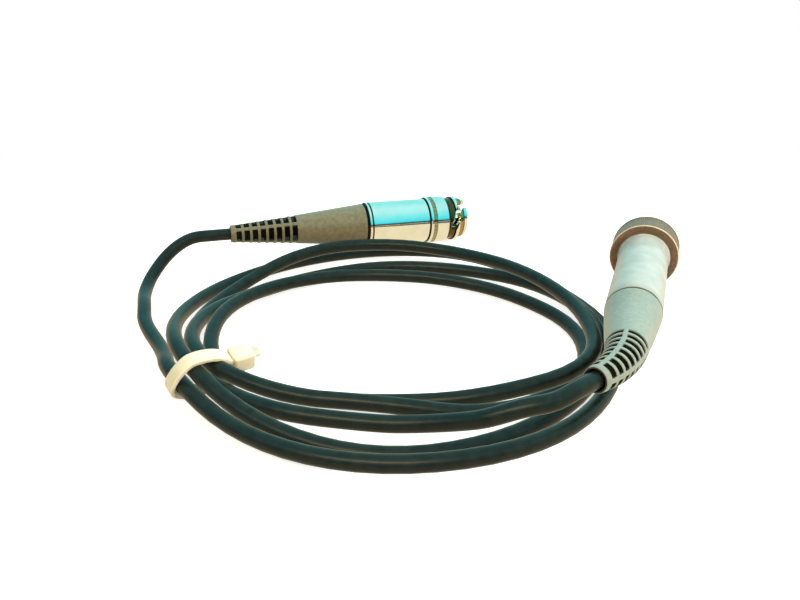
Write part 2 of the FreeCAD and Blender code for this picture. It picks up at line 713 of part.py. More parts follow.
def biarc(start, start_way, end, end_way):
    """Two arcs that join two points, tangent to a direction at each and to each other."""
    span = end - start
    both = start_way + end_way
    spread = 2 * (1 - start_way.dot(end_way))
    root = math.sqrt(span.dot(both) ** 2 + spread * span.dot(span))
    reach = (root - span.dot(both)) / spread
    joint = (start + start_way * reach + end - end_way * reach) * 0.5
    first, first_radius = arc(start, start_way, joint)
    last, last_radius = arc(end, end_way * -1, joint)
    turned_round = Part.Arc(joint, last.value((last.FirstParameter + last.LastParameter) / 2), end)
    return [first, turned_round], min(first_radius, last_radius)


run_in = stations[0] - ways[0] * (2 * CABLE_R)
run_out = stations[-1] + ways[-1] * (2 * CABLE_R)
curves = [Part.LineSegment(run_in, stations[0])]
tightest = []
for i in range(len(stations) - 1):
    pair, radius = biarc(stations[i], ways[i], stations[i + 1], ways[i + 1])
    curves += pair
    tightest.append(radius)
curves.append(Part.LineSegment(stations[-1], run_out))
coil_wire = Part.Wire([curve.toShape() for curve in curves])
coil = swept(coil_wire, CABLE_R)
print("coil length", round(coil_wire.Length, 1), "tightest radius", round(min(tightest), 1))
coil_ratio = coil.Volume / (math.pi * CABLE_R ** 2 * coil_wire.Length)
print("coil volume over section times length", round(coil_ratio, 4))
save("cable_coil", coil)


def free_stretch(points):
    """A tube along straight runs joined by arcs as large as the runs allow."""
    edges = []
    radii = []
    last = points[0]
    for before, here, after in zip(points, points[1:], points[2:]):
        first = here - before
        second = after - here
        cut = 0.45 * min(first.Length, second.Length)
        turn = first.getAngle(second)
        radii.append(cut / math.tan(turn / 2))
        start = here - unit(first) * cut
        end = here + unit(second) * cut
        bisector = unit(unit(second) - unit(first))
        middle = here + bisector * (radii[-1] * (1 / math.cos(turn / 2) - 1))
        edges.append(Part.LineSegment(last, start).toShape())
        edges.append(Part.Arc(start, middle, end).toShape())
        last = end
    edges.append(Part.LineSegment(last, points[-1]).toShape())
    wire = Part.Wire(edges)
    tube = swept(wire, CABLE_R)
    print("runs", [round((b - a).Length, 1) for a, b in zip(points, points[1:])])
    print("radii", [round(r, 1) for r in radii])
    ratio = tube.Volume / (math.pi * CABLE_R ** 2 * wire.Length)
    print("length", round(wire.Length, 1), "volume over section times length", round(ratio, 4))
    return wire, tube


plug_exit = PLUG.multiply(straight.at(BOOT_LENGTH))
plug_back = plug_exit.Rotation.multVec(V(-1, 0, 0))
lead_points = [plug_exit.Base, plug_exit.Base + plug_back * LEAD_EXIT] + LEAD_POINTS
lead_points += [run_in - ways[0] * LEAD_ARRIVAL, run_in]
lead_wire, lead = free_stretch(lead_points)
save("cable_lead", lead)

head_exit = HEAD.multiply(bent.at(BOOT_LENGTH))
head_back = head_exit.Rotation.multVec(V(-1, 0, 0))
tail_points = [run_out, run_out + ways[-1] * TAIL_LEAVE] + TAIL_POINTS
tail_points += [head_exit.Base + head_back * TAIL_EXIT, head_exit.Base]
tail_wire, tail = free_stretch(tail_points)
save("cable_tail", tail)
print("cable length", round(lead_wire.Length + coil_wire.Length + tail_wire.Length, 1))


def least_gap(wires, neighbours=15.0, step=1.2):
    """The least gap between stretches of cable that are not neighbours along it."""
    points = []
    done = 0.0
    for wire in wires:
        count = int(wire.Length / step)
        found = wire.discretize(Number=count)
        if found[0].distanceToPoint(wires[0].OrderedVertexes[0].Point) > 1e-6 and not points:
            found.reverse()
        points += [(done + wire.Length * i / (count - 1), p) for i, p in enumerate(found)]
        done += wire.Length
    least = 1e9
    where = None
    for i, (a, p) in enumerate(points):
        for b, q in points[i + 1:]:
            if b - a > neighbours and abs(p.x - q.x) < 6 and abs(p.y - q.y) < 6:
                distance = p.distanceToPoint(q)
                if distance < least:
                    least = distance
                    where = (p, q)
    return least - 2 * CABLE_R, where


gap, where = least_gap([lead_wire, coil_wire, tail_wire])
print("least gap between turns", round(gap, 2), "at", where)

# Cable tie round the five strands at the first station
angle = math.radians(COIL_FIRST_DEG)
outward = V(math.cos(angle), math.sin(angle), 0)
middle_reach = COIL_TURNS[4][0][0]
tie_at = V(COIL_X, COIL_Y, 0) + outward * middle_reach
tie_way = unit(V(ways[0].x, ways[0].y, 0))
strands = [(turn[0][0] - middle_reach, turn[0][1]) for turn in COIL_TURNS]
low = min(height for _, height in strands)
high = max(height for _, height in strands)
lower = sorted(across for across, height in strands if height == low)
upper = sorted(across for across, height in strands if height == high)
corners = [V(lower[0], low, 0), V(lower[-1], low, 0), V(upper[-1], high, 0), V(upper[0], high, 0)]
outline = Part.Face(Part.makePolygon(corners + corners[:1]))
inner = outline.makeOffset2D(CABLE_R + TIE_GAP)
outer = outline.makeOffset2D(CABLE_R + TIE_GAP + TIE_THICKNESS)
strap = outer.cut(inner).extrude(V(0, 0, TIE_WIDTH))
strap.translate(V(0, 0, -TIE_WIDTH / 2))
head_x = lower[0] - CABLE_R - TIE_GAP - TIE_HEAD_LENGTH
block = Part.makeBox(TIE_HEAD_LENGTH, TIE_HEAD_HEIGHT, TIE_HEAD_WIDTH, V(head_x, low, -TIE_HEAD_WIDTH / 2))
stub_corner = V(head_x + TIE_STUB_AT, low + TIE_HEAD_HEIGHT, -TIE_WIDTH / 2)
stub = Part.makeBox(TIE_THICKNESS, TIE_STUB, TIE_WIDTH, stub_corner)
block = block.fuse(stub)
block = block.cut(inner.extrude(V(0, 0, 4 * TIE_WIDTH)).translated(V(0, 0, -2 * TIE_WIDTH)))
tie = strap.fuse(block).removeSplitter()
across_way = tie_way.cross(V(0, 0, 1))
if across_way.dot(outward) < 0:
    across_way = across_way * -1
normal = across_way.cross(V(0, 0, 1))
tie_matrix = FreeCAD.Matrix(
    across_way.x, 0, normal.x, tie_at.x,
    across_way.y, 0, normal.y, tie_at.y,
    0, 1, normal.z, 0,
    0, 0, 0, 1,
)
save("cable_tie", placed(tie, FreeCAD.Placement(tie_matrix)))
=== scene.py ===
# %% [markdown]
# An oscilloscope probe, lying on a white table with its cable coiled and tied.
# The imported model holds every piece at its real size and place, so this lesson only gives the
# pieces their look: the soft cable, the moulded boots, the film on the handle, the nylon tie
# and a finish for each surface. All lengths are in metres; MM turns millimetres into metres.

import json
import math

import bmesh
import bpy
import numpy as np
from mathutils import Matrix, Vector


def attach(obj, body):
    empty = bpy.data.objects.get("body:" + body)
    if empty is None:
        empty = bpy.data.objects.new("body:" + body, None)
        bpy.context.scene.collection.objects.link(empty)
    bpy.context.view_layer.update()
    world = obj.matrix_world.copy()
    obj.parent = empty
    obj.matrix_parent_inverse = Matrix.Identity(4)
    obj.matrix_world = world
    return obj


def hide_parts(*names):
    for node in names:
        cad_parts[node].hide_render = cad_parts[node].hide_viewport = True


MM = 0.001
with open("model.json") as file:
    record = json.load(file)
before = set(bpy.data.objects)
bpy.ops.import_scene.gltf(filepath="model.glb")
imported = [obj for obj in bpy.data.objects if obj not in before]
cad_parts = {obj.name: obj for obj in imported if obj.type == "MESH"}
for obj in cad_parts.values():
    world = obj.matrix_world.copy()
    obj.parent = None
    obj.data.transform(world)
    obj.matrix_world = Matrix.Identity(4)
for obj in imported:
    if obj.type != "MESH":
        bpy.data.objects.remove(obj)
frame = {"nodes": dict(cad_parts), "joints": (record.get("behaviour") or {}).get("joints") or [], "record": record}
nodes = frame["nodes"]
joints = {joint["name"]: joint for joint in frame["joints"]}
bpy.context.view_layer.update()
print("pieces in the frame:", len(nodes))

# %% [markdown]
# The camera stands where the photographer stood: a little above the table, behind the head
# and looking over the coil. The lens is a plain short one with no shift.

# %% Place the camera
CAMERA_AT = Vector((1.8, -160.8, 78.7)) * MM
CAMERA_PITCH = 65.1
CAMERA_TURN = 21.0
CAMERA_LENS = 31.5

camera_data = bpy.data.cameras.new("camera")
camera_data.lens = CAMERA_LENS
camera_data.sensor_width = 36.0
camera_data.clip_start = 5 * MM
camera = bpy.data.objects.new("camera", camera_data)
camera.location = CAMERA_AT
camera.rotation_euler = (math.radians(CAMERA_PITCH), 0.0, math.radians(CAMERA_TURN))
bpy.context.scene.collection.objects.link(camera)
bpy.context.scene.camera = camera
bpy.context.scene.view_settings.view_transform = "Standard"

# %% [markdown]
# The cable is one limp lead, 3.4 mm across and about 1.3 m long. It leaves the plug, goes four
# times round the coil and comes up into the head's boot. It could be a mesh tube, but a NURBS
# curve is smoother and stays easy to change. Its control points are the route's points. The
# coil's twelve points a turn come from a table of how far out and how high each of them is, with
# a hump wherever one turn climbs over another. The numbers of this table and of the two lists
# after it weren't chosen by hand: a separate fitting program moved the points until the spline's
# outline met the photograph's, and they were then rounded to a tenth of a millimetre. Only the
# lead's last three points were moved a little after that.

# %% Follow the cable's route
CABLE_DIAMETER = 3.4 * MM
COIL_MIDDLE = Vector((-55.7, -22.2, 0.0)) * MM
COIL_FIRST = -129.0
COIL_STEP = 30.0
COIL_TURNS = [
    [
        (50.9, 5.1), (51.3, 1.7), (56.4, 3.9), (58.5, 4.2), (55.9, 1.7), (55.2, 1.7),
        (52.0, 1.7), (52.4, 3.2), (52.1, 2.2), (51.5, 1.7), (51.8, 1.7), (49.9, 4.8),
    ],
    [
        (49.0, 9.2), (47.8, 2.7), (51.5, 1.7), (51.6, 1.7), (52.7, 3.0), (52.0, 3.9),
        (48.1, 3.0), (43.0, 1.7), (39.3, 2.0), (37.9, 1.7), (40.5, 1.7), (44.5, 4.8),
    ],
    [
        (46.3, 7.6), (39.9, 4.5), (37.4, 4.8), (43.7, 1.7), (50.0, 1.7), (47.8, 1.7),
        (38.9, 2.0), (33.1, 2.3), (31.7, 2.2), (34.4, 2.6), (37.4, 3.8), (40.4, 5.1),
    ],
    [
        (42.5, 3.3), (35.9, 2.1), (32.9, 1.7), (40.1, 4.0), (52.3, 6.4), (48.1, 6.4),
        (44.9, 6.8), (46.8, 5.3), (48.4, 5.7), (48.2, 5.9), (47.1, 1.7), (46.7, 2.1),
    ],
    [
        (45.8, 2.7), (44.5, 3.8), (43.2, 4.0),
    ],
]
LEAD_POINTS = [
    (-122.9, -5.0, 10.2),
    (-126.3, -10.8, 7.1),
    (-126.4, -18.6, 3.2),
    (-124.1, -24.3, 1.7),
    (-120.7, -29.1, 1.7),
    (-116.6, -33.8, 2.4),
    (-111.0, -41.0, 1.7),
    (-96.4, -51.6, 1.9),
]
TAIL_POINTS = [
    (-32.4, -61.1, 5.1),
    (-24.6, -60.9, 7.4),
    (-20.1, -61.4, 9.5),
    (-14.3, -59.8, 12.2),
    (-9.5, -57.0, 12.6),
]
LEAD_EXIT = 5.5 * MM
TAIL_EXIT = 4.9 * MM


def coil_points():
    """The control points of the coil's turns."""
    points = []
    for i, (reach, height) in enumerate(station for turn in COIL_TURNS for station in turn):
        angle = math.radians(COIL_FIRST + COIL_STEP * i)
        out = Vector((math.cos(angle), math.sin(angle), 0.0)) * reach
        points.append(COIL_MIDDLE + (out + Vector((0.0, 0.0, height))) * MM)
    return points


# %% [markdown]
# The plug and the head are each turned about one axis, which the model's joints give. Lengths
# along them are counted from the seam where the strain relief meets the can or the handle.

# %% Find the seams and the axes
BOOT_LENGTH = 40.8 * MM
PLUG_NUT_AT = 26.3 * MM
HEAD_GUARD_AT = 41.7 * MM

plug_axis = Vector(joints["coupling_turn"]["axis"]).normalized()
plug_seam = Vector(joints["coupling_turn"]["pos_m"]) - plug_axis * PLUG_NUT_AT
head_axis = Vector(joints["guard_turn"]["axis"]).normalized()
head_seam = Vector(joints["guard_turn"]["pos_m"]) - head_axis * HEAD_GUARD_AT
plug_exit = plug_seam - plug_axis * BOOT_LENGTH
print("plug seam", plug_seam, "head seam", head_seam)


def local_frame(point, forward):
    """A matrix at a point with x along a direction and z as near up as it can be."""
    x = forward.normalized()
    z = (Vector((0, 0, 1)) - x * x.z).normalized()
    y = z.cross(x)
    return Matrix((
        (x.x, y.x, z.x, point.x),
        (x.y, y.y, z.y, point.y),
        (x.z, y.z, z.z, point.z),
        (0, 0, 0, 1),
    ))


# %% [markdown]
# A strain relief bends where the cable pulls it. Its middle line is a row of lines and arcs, each
# with a length, a turn and a side towards which it turns, counted back from the wide end.

# %% Follow a strain relief's middle line
HEAD_BENDS = [
    (4.0 * MM, 0.0, (0, 0, 1)),
    (8.0 * MM, 7.2, (0, 0, 1)),
    (9.1 * MM, 0.0, (0, 0, 1)),
    (19.7 * MM, 24.8, (0, 1, 0)),
]
PLUG_BENDS = [(BOOT_LENGTH, 0.0, (0, 1, 0))]


def along_boot(bends, distance):
    """The place on a boot's middle line some way back from the wide end, as a local matrix."""
    point = Vector((0, 0, 0))
    back = Vector((-1, 0, 0))
    for length, degrees, towards in bends:
        side = Vector(towards)
        side = (side - back * side.dot(back)).normalized()
        part = min(distance, length)
        turn = math.radians(degrees) * part / length
        if turn == 0:
            point = point + back * part
        else:
            radius = part / turn
            point = point + back * radius * math.sin(turn) + side * radius * (1 - math.cos(turn))
            back = back * math.cos(turn) + side * math.sin(turn)
        distance -= part
        if distance <= 0:
            break
    return local_frame(point, -back)


head_frame = local_frame(head_seam, head_axis)
plug_frame = local_frame(plug_seam, plug_axis)
head_end = head_frame @ along_boot(HEAD_BENDS, BOOT_LENGTH)
head_exit = head_end.translation
head_back = -head_end.col[0].to_3d()

# %% Draw the cable
route = [plug_exit, plug_exit - plug_axis * LEAD_EXIT]
route += [Vector(point) * MM for point in LEAD_POINTS]
route += coil_points()
route += [Vector(point) * MM for point in TAIL_POINTS]
route += [head_exit + head_back * TAIL_EXIT, head_exit]

cable_curve = bpy.data.curves.new("cable", "CURVE")
cable_curve.dimensions = "3D"
cable_curve.resolution_u = 6
cable_curve.bevel_depth = 1.0
cable_curve.bevel_resolution = 6
cable_curve.use_fill_caps = True
spline = cable_curve.splines.new("NURBS")
spline.points.add(len(route) - 1)
for spline_point, point in zip(spline.points, route):
    spline_point.co = (*point, 1.0)
    spline_point.radius = CABLE_DIAMETER / 2
spline.order_u = 3
spline.use_endpoint_u = True
cable = bpy.data.objects.new("cable", cable_curve)
bpy.context.scene.collection.objects.link(cable)
bpy.context.view_layer.update()
print("cable points:", len(route), "length:", round(spline.calc_length(), 4))

# The curve takes the place of the CAD cable's pieces, which are hidden. The plug is on the cable's far end.
# The nickel mirrors the cream table and not the cable on it
cable.visible_glossy = False
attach(cable, "root")
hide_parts("cable_coil", "cable_lead", "cable_tail")

# %% [markdown]
# Materials are trees of nodes. One function turns a colour that is written as sRGB hex into the
# linear numbers that a shader needs, one adds a node with its settings and links, and one starts
# an empty material. They are all that the finishes below need. A Mix node that is set to colours
# takes them at two numbered sockets and gives its result at a numbered output.

# %% Small helpers for nodes and colours
COLOUR_A = 6
COLOUR_B = 7
COLOUR_OUT = 2


def linear(code):
    """A colour written as sRGB hex, as linear red, green, blue and a full alpha."""
    shares = [int(code[i:i + 2], 16) / 255 for i in (0, 2, 4)]
    return (*[c / 12.92 if c <= 0.04045 else ((c + 0.055) / 1.055) ** 2.4 for c in shares], 1.0)


def add(tree, kind, settings=None, values=None, links=None):
    """Add a node, set its options and its sockets' values, and feed its sockets from others."""
    node = tree.nodes.new(kind)
    for name, value in (settings or {}).items():
        setattr(node, name, value)
    for socket, value in (values or {}).items():
        node.inputs[socket].default_value = linear(value) if isinstance(value, str) else value
    for socket, source in (links or {}).items():
        tree.links.new(source, node.inputs[socket])
    return node


def set_stops(node, stops):
    """Give a colour ramp its stops, as (place, sRGB hex), and return its colour output."""
    band = node.color_ramp
    band.elements.remove(band.elements[-1])
    band.elements[0].position = stops[0][0]
    band.elements[0].color = linear(stops[0][1])
    for place, code in stops[1:]:
        band.elements.new(place).color = linear(code)
    return node.outputs["Color"]


def start_material(name):
    """An empty material: itself and its tree."""
    material = bpy.data.materials.new(name)
    material.use_nodes = True
    material.node_tree.nodes.clear()
    return material, material.node_tree


def end_material(tree, shader):
    """Join a shader to a new output."""
    add(tree, "ShaderNodeOutputMaterial", links={"Surface": shader.outputs[0]})


# %% [markdown]
# Bright metal looks only as good as what it mirrors. The picture's nickel mirrors a cyan sheet
# above the table and a cream surface below it, with a thin dark line between them. So the world
# shows these three to glossy rays alone, plain soft white light to everything else, and pure
# white to the camera. The mirrored sheet is paler towards the back.

# %% Light the room
ROOM_LIGHT = 0.27
MIRRORED_LIGHT = 1.25
# What a glossy ray sees, from straight down at 0 to straight up at 1
MIRRORED = [
    (0.00, "f6ead2"), (0.40, "fffbe8"), (0.50, "efdcb0"), (0.54, "a58a5c"),
    (0.556, "2c261c"), (0.58, "1f1d17"),
    (0.592, "2b8f9c"), (0.62, "45dcec"), (0.72, "62e6f4"), (0.86, "86eff6"), (1.00, "b8f6fa"),
]
PALE_BEHIND = "93eef0"
PALE_FROM = 0.3
PALE_TO = 0.9

world = bpy.data.worlds.new("white room")
bpy.context.scene.world = world
world.use_nodes = True
room = world.node_tree
room.nodes.clear()
way = add(room, "ShaderNodeTexCoord")
parts = add(room, "ShaderNodeSeparateXYZ", links={"Vector": way.outputs["Generated"]})
height = add(room, "ShaderNodeMapRange", values={"From Min": -1.0},
             links={"Value": parts.outputs["Z"]})
band = add(room, "ShaderNodeValToRGB", links={"Fac": height.outputs["Result"]})
sheet = set_stops(band, MIRRORED)
behind = add(room, "ShaderNodeMapRange", values={"From Min": PALE_FROM, "From Max": PALE_TO},
             links={"Value": parts.outputs["Y"]})
paler = add(room, "ShaderNodeMix", {"data_type": "RGBA"}, {COLOUR_B: PALE_BEHIND},
            {"Factor": behind.outputs["Result"], COLOUR_A: sheet})
mirrored = add(room, "ShaderNodeBackground", values={"Strength": MIRRORED_LIGHT},
               links={"Color": paler.outputs[COLOUR_OUT]})
soft = add(room, "ShaderNodeBackground", values={"Color": "faf8f2", "Strength": ROOM_LIGHT})
seen = add(room, "ShaderNodeBackground", values={"Color": "ffffff"})
ray = add(room, "ShaderNodeLightPath")
unseen = add(room, "ShaderNodeMixShader", links={
    "Fac": ray.outputs["Is Glossy Ray"], 1: soft.outputs[0], 2: mirrored.outputs[0],
})
both = add(room, "ShaderNodeMixShader", links={
    "Fac": ray.outputs["Is Camera Ray"], 1: unseen.outputs[0], 2: seen.outputs[0],
})
add(room, "ShaderNodeOutputWorld", links={"Surface": both.outputs[0]})

# %% [markdown]
# Four soft lamps do the rest: a large cool one overhead, a cool one behind as a window, a narrow
# warm one in front, which draws the thin tan streak along the top of each front turn, and a warm
# one on the right. Only the narrow one is mirrored.

# %% Place the lamps
# Each lamp: its name, where it is and what it points at in millimetres, its two sides in metres,
# its power in watts and its colour
LAMPS = [
    ("overhead lamp", (-80, 100, 420), (-50, -10, 0), 0.30, 0.30, 1.5, "ddf8f4"),
    ("window", (60, 300, 220), (-50, 10, 0), 0.30, 0.20, 1.2, "d9f4fa"),
    ("warm strip", (-60, -330, 330), (-60, -40, 0), 0.40, 0.03, 1.3, "ffd9a6"),
    ("warm fill", (240, -60, 150), (0, 0, 10), 0.20, 0.20, 1.3, "ffe9d6"),
]
for name, spot, target, long_side, short_side, power, code in LAMPS:
    light = bpy.data.lights.new(name, "AREA")
    light.shape = "RECTANGLE"
    light.size = long_side
    light.size_y = short_side
    light.energy = power
    light.color = linear(code)[:3]
    lamp = bpy.data.objects.new(name, light)
    lamp.location = Vector(spot) * MM
    lamp.rotation_euler = (Vector(target) * MM - lamp.location).to_track_quat("-Z", "Y").to_euler()
    lamp.visible_glossy = name == "warm strip"
    bpy.context.scene.collection.objects.link(lamp)
print("lamps:", len(LAMPS))

# %% [markdown]
# The table is white card. To the camera it glows a little, so that it is as white as the
# background and keeps only a pale soft shadow; far from the object it fades to plain white.
# A glossy ray sees it as the cream that the nickel mirrors, and other rays as plain grey card.

# %% Lay the table
TABLE_HALF = 1200 * MM
TABLE_GLOW = 0.78
FADE_FROM = 130 * MM
FADE_TO = 260 * MM

table_mesh = bpy.data.meshes.new("table")
corners = [(x * TABLE_HALF, y * TABLE_HALF, 0.0) for x, y in ((-1, -1), (1, -1), (1, 1), (-1, 1))]
table_mesh.from_pydata(corners, [], [(0, 1, 2, 3)])
table = bpy.data.objects.new("table", table_mesh)
bpy.context.scene.collection.objects.link(table)
card, tree = start_material("white card")
matt = add(tree, "ShaderNodeBsdfDiffuse", values={"Color": "c9c9c9"})
cream = add(tree, "ShaderNodeEmission", values={"Color": "fff5d0", "Strength": 1.0})
lit = add(tree, "ShaderNodeBsdfDiffuse", values={"Color": "c2c4c4"})
glow = add(tree, "ShaderNodeEmission", values={"Color": "ffffff", "Strength": TABLE_GLOW})
near = add(tree, "ShaderNodeAddShader", links={0: lit.outputs[0], 1: glow.outputs[0]})
far = add(tree, "ShaderNodeEmission", values={"Color": "ffffff", "Strength": 1.0})
spot = add(tree, "ShaderNodeTexCoord")
from_coil = add(tree, "ShaderNodeVectorMath", {"operation": "DISTANCE"}, {1: COIL_MIDDLE},
                {0: spot.outputs["Object"]})
fade = add(tree, "ShaderNodeMapRange", {"interpolation_type": "SMOOTHSTEP"},
           {"From Min": FADE_FROM, "From Max": FADE_TO}, {"Value": from_coil.outputs["Value"]})
shown = add(tree, "ShaderNodeMixShader", links={
    "Fac": fade.outputs["Result"], 1: near.outputs[0], 2: far.outputs[0],
})
ray = add(tree, "ShaderNodeLightPath")
unseen = add(tree, "ShaderNodeMixShader", links={
    "Fac": ray.outputs["Is Glossy Ray"], 1: matt.outputs[0], 2: cream.outputs[0],
})
end_material(tree, add(tree, "ShaderNodeMixShader", links={
    "Fac": ray.outputs["Is Camera Ray"], 1: unseen.outputs[0], 2: shown.outputs[0],
}))
table_mesh.materials.append(card)

# %% [markdown]
# Every finish here is a principled shader. What differs is its colour, its gloss and its grain:
# a mottle that shifts the colour a little, and a fine grain that shifts the gloss and gives a low
# relief. Their sizes are given in millimetres, and they lie on Object coordinates, which are the
# object's own metres. The mottle is eight times as coarse as the grain.

# %% A finish from its colour, gloss and grain
MOTTLE_GRAINS = 8
MOTTLE_FROM = 0.35
MOTTLE_TO = 0.65


def finish(name, code, shade, gloss, grain, relief, metal=0.0, values=None):
    """A surface whose colour drifts between two tones and whose gloss drifts between two numbers."""
    material, tree = start_material(name)
    spot = add(tree, "ShaderNodeTexCoord").outputs["Object"]
    mottle = add(tree, "ShaderNodeTexNoise",
                 values={"Scale": 1 / (MOTTLE_GRAINS * grain), "Detail": 4.0}, links={"Vector": spot})
    fine = add(tree, "ShaderNodeTexNoise",
               values={"Scale": 1 / grain, "Detail": 2.0}, links={"Vector": spot})
    spread = add(tree, "ShaderNodeMapRange", values={"From Min": MOTTLE_FROM, "From Max": MOTTLE_TO},
                 links={"Value": mottle.outputs["Fac"]})
    colour = add(tree, "ShaderNodeMix", {"data_type": "RGBA"}, {COLOUR_A: code, COLOUR_B: shade},
                 {"Factor": spread.outputs["Result"]})
    rough = add(tree, "ShaderNodeMapRange", values={"To Min": gloss[0], "To Max": gloss[1]},
                links={"Value": fine.outputs["Fac"]})
    bump = add(tree, "ShaderNodeBump", values={"Strength": 1.0, "Distance": relief},
               links={"Height": fine.outputs["Fac"]})
    surface = add(tree, "ShaderNodeBsdfPrincipled", values={"Metallic": metal, **(values or {})}, links={
        "Base Color": colour.outputs[COLOUR_OUT],
        "Roughness": rough.outputs["Result"],
        "Normal": bump.outputs["Normal"],
    })
    end_material(tree, surface)
    return material


# Extruded PVC: nearly black, satin, with a soft streak of light along it
pvc = finish("satin PVC jacket", "0d120e", "161d18", (0.3, 0.4), 0.25 * MM, 0.006 * MM, values={
    "Specular IOR Level": 0.25,
})
cable_curve.materials.append(pvc)

# %% [markdown]
# Each strain relief is one moulding of soft elastomer: a smooth cone, then a ribbed cone whose
# windows let it bend, with four spines left whole between them. It could be cut with booleans,
# but a net of rings wrapped round the bent middle line gives soft moulded edges and follows the
# bend by itself. The rings lie close together only at the edges of the windows. A number kept
# on each point says how deep it lies in a window, for the finish to paint shade there.

# %% The strain relief's numbers
BOOT_RIBBED = 19.7 * MM
BOOT_WIDE = 6.45 * MM
BOOT_MIDDLE = 4.3 * MM
BOOT_NARROW = 2.5 * MM
BOOT_BORE = 1.75 * MM
BOOT_MOUTH = 2.15 * MM
BOOT_CAVITY = 4.2 * MM
BOOT_CAVITY_LENGTH = 10 * MM
MOUTH_DEPTH = 1.2 * MM
BORE_FROM = 3 * MM
BORE_RINGS = 12
WINDOWS = 8
WINDOW_PITCH = 2.32 * MM
WINDOW_WIDTH = 1.4 * MM
WINDOW_FLOOR = 1.95 * MM
SPINE_WIDTH = 1.2 * MM
EDGE_ROUND = 0.22 * MM
SEAM_SHADE = 0.5 * MM
IN_SHADE = 0.12
RING_POINTS = 160
CONE_RINGS = 30
WINDOW_MIDDLE_RING = 0.2 * MM
# Rings round a window's edge, counted in roundings of that edge, and the ring on an end's corner
EDGE_RINGS = (-1.2, -0.75, -0.4, 0.0, 0.25, 0.4, 0.75, 1.2)
CORNER_RING = 0.3
HEAD_ROLL = -7.8
PLUG_ROLL = 47.5


def smooth_step(value):
    """0 up to 0, 1 from 1 on, and a smooth rise between."""
    share = np.clip(value, 0.0, 1.0)
    return share * share * (3 - 2 * share)


def outside_radius(back):
    """The moulding's radius without its windows, some way back from its wide end."""
    plain = BOOT_LENGTH - BOOT_RIBBED
    if back < plain:
        return BOOT_WIDE + (BOOT_MIDDLE - BOOT_WIDE) * back / plain
    return BOOT_MIDDLE + (BOOT_NARROW - BOOT_MIDDLE) * (back - plain) / BOOT_RIBBED


# %% The rings of a strain relief
def window_middles():
    """How far back each window's middle lies."""
    return [BOOT_LENGTH - BOOT_RIBBED + WINDOW_PITCH * (i + 0.5) for i in range(WINDOWS)]


def ring_places():
    """Where the outside rings lie: evenly on the cone, and close at the edges of the windows."""
    plain = BOOT_LENGTH - BOOT_RIBBED
    places = [EDGE_ROUND * CORNER_RING, EDGE_ROUND]
    places += list(np.linspace(SEAM_SHADE, plain - WINDOW_MIDDLE_RING, CONE_RINGS))
    offsets = [WINDOW_WIDTH / 2 + e * EDGE_ROUND for e in EDGE_RINGS]
    offsets = [-x for x in reversed(offsets)] + [-WINDOW_MIDDLE_RING, WINDOW_MIDDLE_RING] + offsets
    for middle in window_middles():
        places += [middle + x for x in offsets]
    return places + [BOOT_LENGTH - EDGE_ROUND, BOOT_LENGTH - EDGE_ROUND * CORNER_RING]


def outside_ring(back, roll):
    """One outside ring: each point's radius and how deep it lies in a window, from 0 to 1."""
    turn = np.linspace(0, 2 * math.pi, RING_POINTS, endpoint=False) - math.radians(roll)
    radius = outside_radius(back)
    aside = np.minimum(np.abs(np.sin(turn)), np.abs(np.cos(turn))) * radius
    beside_spine = smooth_step((aside - SPINE_WIDTH / 2) / EDGE_ROUND + 0.5)
    nearest = min(abs(back - middle) for middle in window_middles())
    in_window = smooth_step((WINDOW_WIDTH / 2 - nearest) / EDGE_ROUND + 0.5)
    deep = beside_spine * in_window
    from_end = min(back, BOOT_LENGTH - back)
    corner = 0.0
    if from_end < EDGE_ROUND:
        corner = EDGE_ROUND - math.sqrt(EDGE_ROUND ** 2 - (EDGE_ROUND - from_end) ** 2)
    return radius - corner - (radius - WINDOW_FLOOR) * deep, deep


# %% Build a strain relief
def net(name, rings, closed=True):
    """A mesh from rings of points, each joined to the next, and the last to the first if closed."""
    count = len(rings[0])
    points = [tuple(point) for ring in rings for point in ring]
    faces = []
    for i in range(len(rings) if closed else len(rings) - 1):
        here, there = i * count, (i + 1) % len(rings) * count
        for k in range(count):
            after = (k + 1) % count
            faces.append((here + k, here + after, there + after, there + k))
    if not closed:
        faces.append(tuple(reversed(range(count))))
        faces.append(tuple(range((len(rings) - 1) * count, len(rings) * count)))
    mesh = bpy.data.meshes.new(name)
    mesh.from_pydata(points, [], faces)
    mesh.shade_smooth()
    return mesh


def outward(mesh):
    """Turn every face of a closed mesh outwards."""
    shape = bmesh.new()
    shape.from_mesh(mesh)
    bmesh.ops.recalc_face_normals(shape, faces=shape.faces)
    if shape.calc_volume(signed=True) < 0:
        bmesh.ops.reverse_faces(shape, faces=shape.faces)
    shape.to_mesh(mesh)
    shape.free()


def piece(name, mesh, material, body, slot, *replaced):
    """Put a mesh in the scene as a piece of the object, riding on a body and replacing CAD nodes."""
    mesh.materials.clear()
    mesh.materials.append(material)
    thing = bpy.data.objects.new(name, mesh)
    bpy.context.scene.collection.objects.link(thing)
    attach(thing, body)
    if replaced:
        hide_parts(*replaced)
    print(name, "faces:", len(mesh.polygons))


